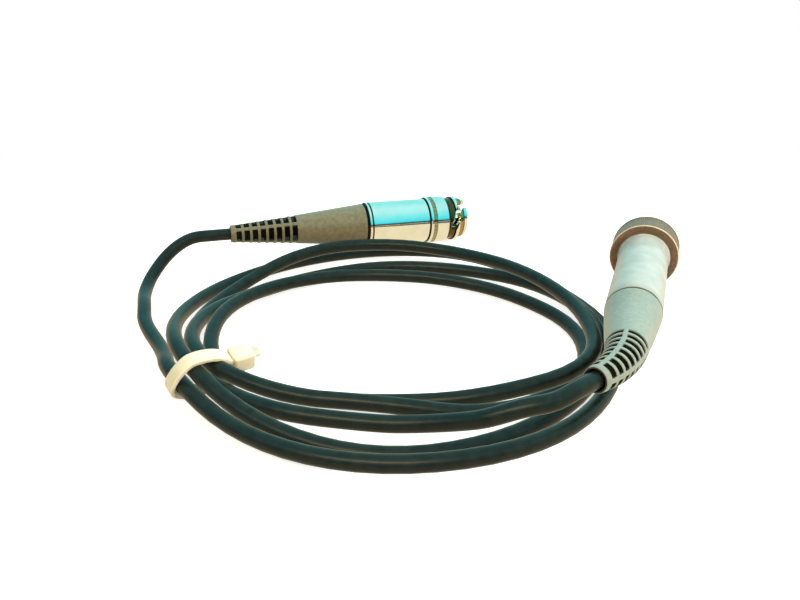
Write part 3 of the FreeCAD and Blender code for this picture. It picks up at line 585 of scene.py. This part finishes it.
def strain_relief(name, start, bends, roll, material, node):
    """The moulding round a bent middle line, as one closed net of rings."""
    inside = [(BOOT_LENGTH - EDGE_ROUND * CORNER_RING, BOOT_MOUTH), (BOOT_LENGTH - MOUTH_DEPTH, BOOT_BORE)]
    inside += [(x, BOOT_BORE) for x in np.linspace(BOOT_LENGTH - BORE_FROM, BOOT_CAVITY_LENGTH, BORE_RINGS)]
    inside += [(BOOT_CAVITY_LENGTH * share, BOOT_CAVITY) for share in (1.0, 0.5, 0.0)]
    turn = np.linspace(0, 2 * math.pi, RING_POINTS, endpoint=False)
    rings, depth = [], []
    for back in ring_places():
        radius, deep = outside_ring(back, roll)
        rings.append((back, radius))
        depth.append(deep)
    for back, radius in inside:
        rings.append((back, np.full(RING_POINTS, radius)))
        depth.append(np.ones(RING_POINTS))
    placed = []
    for back, radius in rings:
        at = start @ along_boot(bends, back)
        placed.append([at @ Vector((0, -math.sin(t) * r, math.cos(t) * r)) for t, r in zip(turn, radius)])
    mesh = net(name, placed)
    depth = np.concatenate(depth)
    kept = mesh.attributes.new("depth", "FLOAT", "POINT")
    kept.data.foreach_set("value", depth)
    outward(mesh)
    piece(name, mesh, material, "root", "boot", node)
    # Painted shade: the faces along the seam and deep in the windows take the near-black material
    mesh.materials.append(painted_shade_rubber)
    for face in mesh.polygons:
        row = [corner // RING_POINTS for corner in face.vertices]
        at_seam = max(rings[i][0] for i in row) <= SEAM_SHADE * 1.01
        if at_seam or min(depth[corner] for corner in face.vertices) > IN_SHADE:
            face.material_index = 1


# %% [markdown]
# The elastomer is satin, from a lightly sparked mould, so its sheen is broad and its relief is
# fine. Inside the windows and along the seam, painted shade makes it nearly black and matt, so
# the faces there have a material of their own. The head's relief is painted paler and greener
# than the plug's, for the cool light from above that falls on it, so each has its own two tones.

# %% The elastomer and the two strain reliefs
# Where the painted shade in the windows begins and where it is full, by a point's depth
DARK_FROM = 0.02
DARK_TO = IN_SHADE * 1.3


def elastomer(name, code, shade, dark):
    """The moulded elastomer, with painted shade that darkens it by the depth its points carry."""
    material = finish(name, code, shade, (0.33, 0.43), 0.12 * MM, 0.012 * MM, values={
        "Sheen Weight": 0.1,
    })
    tree = material.node_tree
    surface = next(node for node in tree.nodes if node.type == "BSDF_PRINCIPLED")
    plain = surface.inputs["Base Color"].links[0].from_socket
    depth = add(tree, "ShaderNodeAttribute", {"attribute_name": "depth"})
    share = add(tree, "ShaderNodeMapRange", values={"From Min": DARK_FROM, "From Max": DARK_TO},
                links={"Value": depth.outputs["Fac"]})
    darkened = add(tree, "ShaderNodeMix", {"data_type": "RGBA"}, {COLOUR_B: dark},
                   {"Factor": share.outputs["Result"], COLOUR_A: plain})
    tree.links.new(darkened.outputs[COLOUR_OUT], surface.inputs["Base Color"])
    return material


# The head's two tones are painted paler and greener than the plug's, for the cool light from above; the last
# colour of each is the painted shade in its windows
head_rubber = elastomer("satin elastomer, head", "6d7f78", "7f887f", "141614")
plug_rubber = elastomer("satin elastomer, plug", "6d6850", "5c5942", "12130f")
painted_shade_rubber = finish("painted shade in the windows and seam", "10110e", "171812", (0.8, 0.9),
                       0.12 * MM, 0.01 * MM, values={"Specular IOR Level": 0.1})
strain_relief("head_strain_relief", head_frame, HEAD_BENDS, HEAD_ROLL, head_rubber, "head_boot")
strain_relief("plug_strain_relief", plug_frame, PLUG_BENDS, PLUG_ROLL, plug_rubber, "plug_boot")

# %% [markdown]
# The tie is a releasable nylon strap drawn round five passes of the cable. Nylon is stiff, so
# the strap doesn't go straight from strand to strand but bows out a little. Its line is found
# as a stretched band is: for every direction, how far the outermost strand reaches, smoothed
# over the neighbouring directions. The tie stands a little further along the cable than the
# coil's first point, and leans.

# %% The tie's line round the strands
TIE_WIDTH = 3.2 * MM
TIE_THICKNESS = 1.05 * MM
TIE_CORNER = 0.3 * MM
TIE_GAP = 0.2 * MM
# The middle of each strand that the tie holds, in millimetres across and up in the tie's plane.
# A separate program read them off the cable's spline.
TIE_STRANDS = [(4.63, 4.33), (2.13, 7.57), (-1.97, 6.92), (-5.48, 3.21), (-0.92, 3.07)]
TIE_STEPS = 180
TIE_SOFT = 14
TIE_REACH = 45.2 * MM
TIE_ALONG = 3.5 * MM
TIE_LEAN = 0.3
TIE_ACROSS = (-0.5385, -0.8426)


def tie_frame():
    """The tie's matrix: x across the strands, y along the cable and z up, leaning a little."""
    turn = math.radians(COIL_FIRST)
    across = Vector((*TIE_ACROSS, 0.0)).normalized()
    level = Vector((0, 0, 1)).cross(across)
    up = Vector((0, 0, 1)) * math.cos(TIE_LEAN) + level * math.sin(TIE_LEAN)
    along = up.cross(across)
    middle = COIL_MIDDLE + Vector((math.cos(turn), math.sin(turn), 0.0)) * TIE_REACH + level * TIE_ALONG
    return Matrix((
        (across.x, along.x, up.x, middle.x),
        (across.y, along.y, up.y, middle.y),
        (across.z, along.z, up.z, middle.z),
        (0, 0, 0, 1),
    ))


def tie_line():
    """Points of the strap's middle line and its outward directions, as (across, up)."""
    angles = np.linspace(0, 2 * math.pi, TIE_STEPS, endpoint=False)
    ways = np.stack([np.cos(angles), np.sin(angles)], axis=1)
    strands = np.array(TIE_STRANDS) * MM
    middle = strands.mean(axis=0)
    reach = np.max(ways @ (strands - middle).T, axis=1)
    weights = np.hanning(2 * TIE_SOFT + 1)
    around = np.concatenate([reach[-TIE_SOFT:], reach, reach[:TIE_SOFT]])
    reach = np.convolve(around, weights / weights.sum(), mode="valid")
    reach = reach + CABLE_DIAMETER / 2 + TIE_GAP + TIE_THICKNESS / 2
    slope = (np.roll(reach, -1) - np.roll(reach, 1)) / (2 * (angles[1] - angles[0]))
    points = ways * reach[:, None] + np.stack([-ways[:, 1], ways[:, 0]], axis=1) * slope[:, None]
    return points + middle, ways


# %% Draw the strap
def rounded_section(width, thickness, corner, steps=5):
    """A rectangle with round corners, as (across its width, through its thickness)."""
    places = []
    for quarter, (x, y) in enumerate(((1, 1), (-1, 1), (-1, -1), (1, -1))):
        for turn in np.linspace(0, math.pi / 2, steps) + quarter * math.pi / 2:
            places.append((x * (width / 2 - corner) + corner * math.cos(turn),
                           y * (thickness / 2 - corner) + corner * math.sin(turn)))
    return places


def strap_mesh():
    """The strap's loop: its rounded section carried round the line."""
    at = tie_frame()
    points, ways = tie_line()
    section = rounded_section(TIE_WIDTH, TIE_THICKNESS, TIE_CORNER)
    rings = []
    for (x, z), (out_x, out_z) in zip(points, ways):
        rings.append([at @ Vector((x + out_x * out, aside, z + out_z * out)) for aside, out in section])
    mesh = net("tie_strap", rings)
    outward(mesh)
    return mesh


# %% [markdown]
# Natural nylon is milky: light goes a little way in and comes out softened, so the strap has
# no hard shade of its own. Subsurface scattering gives that, with a satin surface.

# %% The nylon and the strap
nylon = finish("natural nylon", "dfddc6", "d4d3bd", (0.34, 0.44), 0.4 * MM, 0.008 * MM, values={
    "Subsurface Weight": 0.5, "Subsurface Radius": (0.004, 0.0035, 0.0025), "Subsurface Scale": 0.6,
})
piece("tie_strap", strap_mesh(), nylon, "root", "tie", "cable_tie")

# %% [markdown]
# The tie's head is a moulded block with its edges rounded and a slot through which the strap's
# end comes out. Its teeth are a row of the same small wedge, so Geometry Nodes make them: a
# line of points, and one wedge on each.

# %% The tie's head
# Two opposite corners of each block, in millimetres in the tie's own frame
HEAD_BLOCK = ((-10.6, -2.3, 4.2), (-6.0, 2.3, 8.2))
STUB_BLOCK = ((-12.2, -1.6, 6.6), (-9.8, 1.6, 7.6))
BLOCK_ROUND = 0.45 * MM
STUB_ROUND = 0.25 * MM


def block_mesh(name, low, high, corner, at, rounds=3):
    """A block between two corners, in millimetres, with all its edges rounded."""
    shape = bmesh.new()
    bmesh.ops.create_cube(shape, size=1.0)
    for vertex in shape.verts:
        share = vertex.co + Vector((0.5, 0.5, 0.5))
        vertex.co = Vector([(l + (h - l) * part) * MM for l, h, part in zip(low, high, share)])
    bmesh.ops.bevel(shape, geom=shape.edges[:], offset=corner, segments=rounds, profile=0.5, affect="EDGES")
    shape.transform(at)
    mesh = bpy.data.meshes.new(name)
    shape.to_mesh(mesh)
    shape.free()
    mesh.shade_smooth()
    outward(mesh)
    return mesh


piece("tie_head", block_mesh("tie_head", *HEAD_BLOCK, BLOCK_ROUND, tie_frame()), nylon, "root", "tie")
piece("tie_end", block_mesh("tie_end", *STUB_BLOCK, STUB_ROUND, tie_frame()), nylon, "root", "tie")

# %% The teeth on the strap's end
TEETH = 3
TOOTH_PITCH = 0.5 * MM
TOOTH_SIZE = Vector((0.25, 1.5, 0.3)) * MM
TEETH_AT = Vector((-11.9, 0.0, 7.65)) * MM


def set_input(modifier, tree, name, value):
    """Set a Geometry Nodes input by its socket's identifier."""
    for entry in tree.interface.items_tree:
        if entry.item_type == "SOCKET" and entry.in_out == "INPUT" and entry.name == name:
            modifier[entry.identifier] = value


def new_tree(name, sizes):
    """A Geometry Nodes tree with named inputs, its input node and its output node."""
    tree = bpy.data.node_groups.new(name, "GeometryNodeTree")
    tree.interface.new_socket("Geometry", in_out="INPUT", socket_type="NodeSocketGeometry")
    for label, kind in sizes:
        tree.interface.new_socket(label, in_out="INPUT", socket_type=kind)
    tree.interface.new_socket("Geometry", in_out="OUTPUT", socket_type="NodeSocketGeometry")
    return tree, tree.nodes.new("NodeGroupInput"), tree.nodes.new("NodeGroupOutput")


def grown_mesh(name, tree, inputs):
    """Run a Geometry Nodes tree on an empty mesh and return what it makes as a plain mesh."""
    holder = bpy.data.objects.new(name + "_grown", bpy.data.meshes.new(name + "_seed"))
    bpy.context.scene.collection.objects.link(holder)
    modifier = holder.modifiers.new("grow", "NODES")
    modifier.node_group = tree
    for label, value in inputs.items():
        set_input(modifier, tree, label, value)
    bpy.context.view_layer.update()
    grown = holder.evaluated_get(bpy.context.evaluated_depsgraph_get())
    mesh = bpy.data.meshes.new_from_object(grown)
    mesh.name = name
    holder.modifiers.remove(modifier)
    bpy.data.objects.remove(holder)
    return mesh


def finished_tree(tree, output, instances, material):
    """End a tree in real meshes with a material."""
    real = add(tree, "GeometryNodeRealizeInstances", links={"Geometry": instances})
    finished = add(tree, "GeometryNodeSetMaterial", values={"Material": material},
                   links={"Geometry": real.outputs[0]})
    tree.links.new(finished.outputs[0], output.inputs["Geometry"])


tree, given, result = new_tree("row of teeth", [
    ("Count", "NodeSocketInt"), ("Pitch", "NodeSocketVector"), ("Tooth", "NodeSocketVector"),
])
row = add(tree, "GeometryNodeMeshLine", {"mode": "OFFSET"}, links={
    "Count": given.outputs["Count"], "Offset": given.outputs["Pitch"],
})
tooth = add(tree, "GeometryNodeMeshCube", links={"Size": given.outputs["Tooth"]})
teeth = add(tree, "GeometryNodeInstanceOnPoints", links={
    "Points": row.outputs[0], "Instance": tooth.outputs[0],
})
finished_tree(tree, result, teeth.outputs[0], nylon)
teeth_mesh = grown_mesh("tie_teeth", tree, {
    "Count": TEETH, "Pitch": Vector((TOOTH_PITCH, 0, 0)), "Tooth": TOOTH_SIZE,
})
teeth_mesh.transform(tie_frame() @ Matrix.Translation(TEETH_AT))
piece("tie_teeth", teeth_mesh, nylon, "root", "tie")

# %% [markdown]
# The handle is wrapped in a clear film that was shrunk on over it. It is glossy, pale and a
# little milky. Where it was drawn against the finger guard it flares and has puckered on the
# left and at the top, so a few ridges are pushed out of a finely divided tube there.

# %% The film's numbers
FILM_FROM = 0.4 * MM
FILM_TO = 36.9 * MM
FILM_IN = 6.06 * MM
FILM_OUT = 6.41 * MM
FILM_EDGE = 0.05 * MM
FILM_FLARE = 0.45 * MM
FLARE_LENGTH = 1.6 * MM
FILM_POINTS = 240
# The outside has few rings on the plain stretch and many where the puckers are
PLAIN_TO = 28 * MM
PLAIN_RINGS = 14
PUCKERED_FROM = 28.4 * MM
PUCKERED_RINGS = 70
INSIDE_RINGS = 8
# Each pucker: how far along, which way round from the top to the left, its length, width and height
PUCKERS = [
    (35.9, 66.0, 0.6, 6.0, 0.34), (35.2, 58.0, 0.7, 6.0, 0.30), (34.5, 70.0, 0.7, 6.0, 0.30),
    (33.8, 60.0, 0.6, 7.0, 0.26), (33.1, 74.0, 0.7, 5.0, 0.28), (32.3, 66.0, 0.6, 5.0, 0.20),
    (31.7, 80.0, 0.7, 6.0, 0.22), (36.2, 46.0, 0.5, 7.0, 0.32), (35.5, 40.0, 0.5, 6.0, 0.24),
    (34.8, 48.0, 0.5, 7.0, 0.22), (36.2, 22.0, 0.5, 9.0, 0.26), (35.6, 10.0, 0.6, 7.0, 0.14),
    (35.9, -26.0, 0.6, 9.0, 0.20), (34.9, -50.0, 0.9, 6.0, 0.18), (33.2, -68.0, 1.0, 6.0, 0.16),
    (36.1, -62.0, 0.6, 8.0, 0.24),
]
# How far a pucker runs along for each degree round, and how steep its sides are
PUCKER_SKEW = 0.05
PUCKER_STEEP = 0.35


def film_radius(x, turn):
    """The film's outer radius at a place along the handle and a way round from the top."""
    radius = np.full_like(turn, FILM_OUT)
    flare = max(0.0, 1 - (FILM_TO - x) / FLARE_LENGTH)
    radius += FILM_FLARE * flare * flare
    for at, way, length, width, height in PUCKERS:
        aside = (np.degrees(turn) - way + 180) % 360 - 180
        skew = (x / MM - at) + aside * PUCKER_SKEW
        radius += height * MM * np.exp(-(skew / (PUCKER_STEEP * length)) ** 2 - (aside / width) ** 2)
    return radius


# %% Wrap the film
def film_mesh():
    """A tube with a thin wall whose outside carries the flare and the puckers."""
    turn = np.linspace(0, 2 * math.pi, FILM_POINTS, endpoint=False)
    outside = list(np.linspace(FILM_FROM + FILM_EDGE, PLAIN_TO, PLAIN_RINGS))
    outside += list(np.linspace(PUCKERED_FROM, FILM_TO - FILM_EDGE, PUCKERED_RINGS))
    inside = [FILM_TO] + list(np.linspace(FILM_TO - 1 * MM, FILM_FROM, INSIDE_RINGS))
    rings = [(FILM_FROM, np.full(FILM_POINTS, FILM_OUT - FILM_EDGE))]
    rings += [(x, film_radius(x, turn)) for x in outside]
    rings += [(FILM_TO, film_radius(FILM_TO, turn) - FILM_EDGE)]
    rings += [(x, np.full(FILM_POINTS, FILM_IN)) for x in inside]
    placed = []
    for x, radius in rings:
        placed.append([head_frame @ Vector((x, r * math.sin(t), r * math.cos(t)))
                       for t, r in zip(turn, radius)])
    mesh = net("handle_film", placed)
    outward(mesh)
    return mesh


film = finish("clear shrink film over pale print", "8f9a97", "a3a9a5", (0.3, 0.4),
              0.5 * MM, 0.006 * MM, values={
                  "Specular IOR Level": 0.3, "Coat Weight": 0.1, "Coat Roughness": 0.15,
              })
piece("handle_film", film_mesh(), film, "root", "film", "clear_sleeve")

# %% [markdown]
# The finger guard is a thick turned ring whose rear face is dished towards the handle. A lathe
# profile gives its form: a list of places along the axis and radii, spun into a net. Its rim is
# knurled with fine straight ribs, which Geometry Nodes set round a circle, one rib on each point.
# Its rear edge has a painted pale highlight, and its dished rear face is painted lighter for the light
# that falls on it, so the faces of those rows of the profile have a material of their own.

# %% The finger guard
GUARD_FROM = 37.3
GUARD_TO = 46.1
GUARD_BORE = 6.1
# The profile starts in the bore at the rear, goes out over the rear face and edge, forwards over
# the rim, in over the front face and back through the bore
GUARD_PROFILE = [
    (GUARD_FROM + 1.75, GUARD_BORE), (GUARD_FROM + 1.7, 6.3), (GUARD_FROM + 1.25, 7.2),
    (GUARD_FROM + 0.5, 8.3), (GUARD_FROM + 0.1, 8.7), (GUARD_FROM, 8.8), (GUARD_FROM + 0.02, 8.88),
    (GUARD_FROM + 0.1, 8.97), (GUARD_FROM + 0.22, 9.0), (GUARD_FROM + 0.55, 9.0),
    (GUARD_FROM + 0.65, 8.86), (44.9, 8.86), (45.05, 9.0), (45.5, 9.0), (45.85, 8.85),
    (GUARD_TO, 8.5), (GUARD_TO, 8.3), (GUARD_TO, GUARD_BORE + 0.15),
    (GUARD_TO - 0.15, GUARD_BORE), (41.0, GUARD_BORE),
]
# Rows of the profile that get the painted light of the rear face and the painted highlight of the rear edge
REAR_ROWS = (0, 1, 2, 3)
HIGHLIGHT_ROWS = (4, 5, 6, 7)


def lathe_mesh(name, profile, at, count=192):
    """A closed profile of places along x and radii, in millimetres, spun round x."""
    turn = np.linspace(0, 2 * math.pi, count, endpoint=False)
    rings = [[at @ (Vector((x, r * math.sin(t), r * math.cos(t))) * MM) for t in turn] for x, r in profile]
    mesh = net(name, rings)
    outward(mesh)
    return mesh


# %% The ribs round the guard
RIBS = 116
RIB_FROM = 38.0
RIB_TO = 44.85
RIB_HALF = 0.13
RIB_TAPER = 0.2
RIB_CIRCLE = 8.8
tree, given, result = new_tree("ribs round a ring", [
    ("Count", "NodeSocketInt"), ("Radius", "NodeSocketFloat"), ("Rib", "NodeSocketObject"),
])
ring = add(tree, "GeometryNodeMeshCircle", links={
    "Vertices": given.outputs["Count"], "Radius": given.outputs["Radius"],
})
spot = add(tree, "GeometryNodeInputPosition")
facing = add(tree, "FunctionNodeAlignRotationToVector", {"axis": "X", "pivot_axis": "Z"},
             links={"Vector": spot.outputs[0]})
one = add(tree, "GeometryNodeObjectInfo", links={"Object": given.outputs["Rib"]})
ribs = add(tree, "GeometryNodeInstanceOnPoints", links={
    "Points": ring.outputs[0], "Instance": one.outputs["Geometry"], "Rotation": facing.outputs[0],
})

# One rib is half round, lies along z and is half as thick at its ends
half_circle = np.linspace(-math.pi / 2, math.pi / 2, 5)
rib_ring = [(RIB_HALF * math.cos(t), RIB_HALF * math.sin(t)) for t in half_circle]
rib_stations = ((RIB_FROM, 0.5), (RIB_FROM + RIB_TAPER, 1), (RIB_TO - RIB_TAPER, 1), (RIB_TO, 0.5))
rib_mesh = net("rib", [[Vector((x * share, y * share, z)) * MM for x, y in rib_ring]
                       for z, share in rib_stations], closed=False)
outward(rib_mesh)
rib = bpy.data.objects.new("rib", rib_mesh)
bpy.context.scene.collection.objects.link(rib)
# Brown moulded ABS: satin, with a fine spark-eroded texture
resin = finish("moulded ABS, finger guard", "5a4836", "6b5843", (0.34, 0.5), 0.15 * MM, 0.02 * MM)
finished_tree(tree, result, ribs.outputs[0], resin)
ribs_mesh = grown_mesh("guard_ribs", tree, {"Count": RIBS, "Radius": RIB_CIRCLE * MM, "Rib": rib})
bpy.data.objects.remove(rib)
# The ribs grow along z, and the head's axis is x
along_axis = Matrix(((0, 0, 1, 0), (0, 1, 0, 0), (-1, 0, 0, 0), (0, 0, 0, 1)))
ribs_mesh.transform(head_frame @ along_axis)
piece("guard_ribs", ribs_mesh, resin, "guard", "guard")
guard_mesh = lathe_mesh("finger_guard", GUARD_PROFILE, head_frame)
piece("finger_guard", guard_mesh, resin, "guard", "guard", "guard_ring")
# A painted highlight on the rear edge, and painted light on the dished rear face
painted_highlight = finish("painted highlight on the guard's rear edge", "d9c3ab", "c4aa90", (0.4, 0.5), 0.1 * MM, 0.01 * MM)
painted_light_rear_face = finish("painted light on the guard's rear face", "7f6a56", "937d68", (0.4, 0.5), 0.1 * MM, 0.02 * MM)
guard_mesh.materials.append(painted_highlight)
guard_mesh.materials.append(painted_light_rear_face)
around = len(guard_mesh.polygons) // len(GUARD_PROFILE)
for face in guard_mesh.polygons:
    row = face.index // around
    face.material_index = 1 if row in HIGHLIGHT_ROWS else 2 if row in REAR_ROWS else 0

# %% [markdown]
# The other pieces keep their machined CAD shape, and only their finish is missing. Each of the
# record's material slots gets one: what the real surface is, how it was made, and how that looks.

# %% Finishes for the pieces that stay as they are
FINISHES = {
    # Polished plate is nearly a mirror, with only the softest waviness
    "nickel": finish("bright nickel plate", "efebe2", "e3ddd0", (0.05, 0.09),
                     0.5 * MM, 0.0012 * MM, metal=1.0),
    # Moulded ABS is satin and even
    "handle": finish("moulded ABS, handle", "a9b0a4", "9ea699", (0.4, 0.5), 0.2 * MM, 0.01 * MM),
    "guard": resin,
    "cable": pvc,
    # Drawn and crimped steel is dull and slightly streaky
    "crimp": finish("crimped steel sleeve", "b9b8b2", "a5a49e", (0.3, 0.42),
                    0.2 * MM, 0.01 * MM, metal=1.0),
    # PTFE is waxy: light goes a little way in
    "insulator": finish("turned white PTFE", "f0f0ea", "e6e6e0", (0.45, 0.55), 0.2 * MM, 0.006 * MM,
                        values={"Subsurface Weight": 0.2, "Subsurface Scale": 0.001}),
    # Turned and ground metals keep fine tool marks, which spread their highlights
    "brass": finish("turned brass", "cda85c", "bd974c", (0.2, 0.32),
                    0.15 * MM, 0.004 * MM, metal=1.0),
    "steel": finish("ground spring steel", "b8bbbd", "a4a7a9", (0.2, 0.32),
                    0.12 * MM, 0.003 * MM, metal=1.0),
    # Glaze and solder mask are smooth and glossy
    "ceramic": finish("glazed ceramic", "87968b", "7b8a80", (0.15, 0.25), 0.3 * MM, 0.004 * MM),
    "board": finish("solder mask on glass epoxy", "23603f", "1d5236", (0.2, 0.3),
                    0.4 * MM, 0.01 * MM),
    # Bare copper has dulled a little in the air
    "copper": finish("bare drawn copper", "c98462", "b87455", (0.25, 0.38),
                     0.1 * MM, 0.004 * MM, metal=1.0),
    # Unglazed ceramic, a coated chip and rubber are matt
    "trimmer": finish("moulded ceramic trimmer base", "b8553a", "a94a31", (0.4, 0.5),
                      0.15 * MM, 0.008 * MM),
    "chip": finish("coated chip resistor", "262626", "303030", (0.35, 0.45),
                   0.1 * MM, 0.006 * MM),
    "gasket": finish("orange silicone rubber", "d2762f", "c06826", (0.4, 0.5),
                     0.12 * MM, 0.006 * MM),
    # Gold plate on a turned pin is bright and warm
    "gold": finish("gold plate", "e2bd66", "d6af57", (0.12, 0.2), 0.1 * MM, 0.002 * MM, metal=1.0),
}

# %% [markdown]
# The plug's nickel is turned in steps. The CAD steps are there, but too shallow to look dark, so a
# ramp along the plug's axis paints shade in them, darker and browner.

# %% Paint shade in the grooves of the plug's nickel
# Each band of painted shade: where it starts and ends along the plug, in millimetres, and the colour it tints the
# nickel with
GROOVE_SHADE = [
    (0.0, 0.3, "3a3024"), (1.0, 1.5, "6b5a42"), (19.55, 20.0, "33291e"), (20.85, 22.15, "b9a98d"),
    (26.35, 26.75, "2e251b"), (26.75, 28.4, "6d5438"), (28.4, 28.75, "2e251b"),
    (29.85, 30.15, "2e251b"), (30.15, 31.25, "c09a68"), (31.25, 31.55, "33291e"),
]
PLUG_SPAN = 33.0
UNTINTED = "ffffff"


def grooved_nickel():
    """The nickel, with painted shade that makes it darker and browner in the plug's grooves."""
    material = finish("bright nickel plate, painted shade in grooves", "efebe2", "e9e4d9", (0.05, 0.09),
                      0.5 * MM, 0.0012 * MM, metal=1.0)
    tree = material.node_tree
    surface = next(node for node in tree.nodes if node.type == "BSDF_PRINCIPLED")
    plain = surface.inputs["Base Color"].links[0].from_socket
    spot = add(tree, "ShaderNodeTexCoord")
    from_seam = add(tree, "ShaderNodeVectorMath", {"operation": "SUBTRACT"}, {1: plug_seam},
                    {0: spot.outputs["Object"]})
    along = add(tree, "ShaderNodeVectorMath", {"operation": "DOT_PRODUCT"}, {1: plug_axis},
                {0: from_seam.outputs["Vector"]})
    share = add(tree, "ShaderNodeMath", {"operation": "DIVIDE"}, {1: PLUG_SPAN * MM},
                {0: along.outputs["Value"]})
    stops = [(0.0, UNTINTED)]
    for low, high, code in GROOVE_SHADE:
        stops = [stop for stop in stops if stop[0] < low / PLUG_SPAN]
        stops += [(low / PLUG_SPAN, code), (high / PLUG_SPAN, UNTINTED)]
    band = add(tree, "ShaderNodeValToRGB", links={"Fac": share.outputs["Value"]})
    band.color_ramp.interpolation = "CONSTANT"
    tint = add(tree, "ShaderNodeMix", {"data_type": "RGBA", "blend_type": "MULTIPLY"}, {"Factor": 1.0},
               {COLOUR_A: plain, COLOUR_B: set_stops(band, stops)})
    tree.links.new(tint.outputs[COLOUR_OUT], surface.inputs["Base Color"])
    return material


GROOVED = ["plug_housing", "plug_body", "coupling_nut"]
grooved = grooved_nickel()

# %% Dress the pieces
# The slots boot, film and tie aren't in FINISHES, because this script replaces their nodes
slot_names = {part["node"]: part["material_slot"] for part in frame["record"]["subparts"]}
dressed = 0
for name, thing in nodes.items():
    kind = slot_names[name]
    if kind not in FINISHES:
        continue
    for material_slot in thing.material_slots:
        material_slot.material = grooved if name in GROOVED else FINISHES[kind]
        dressed += 1
print("dressed CAD pieces:", dressed)
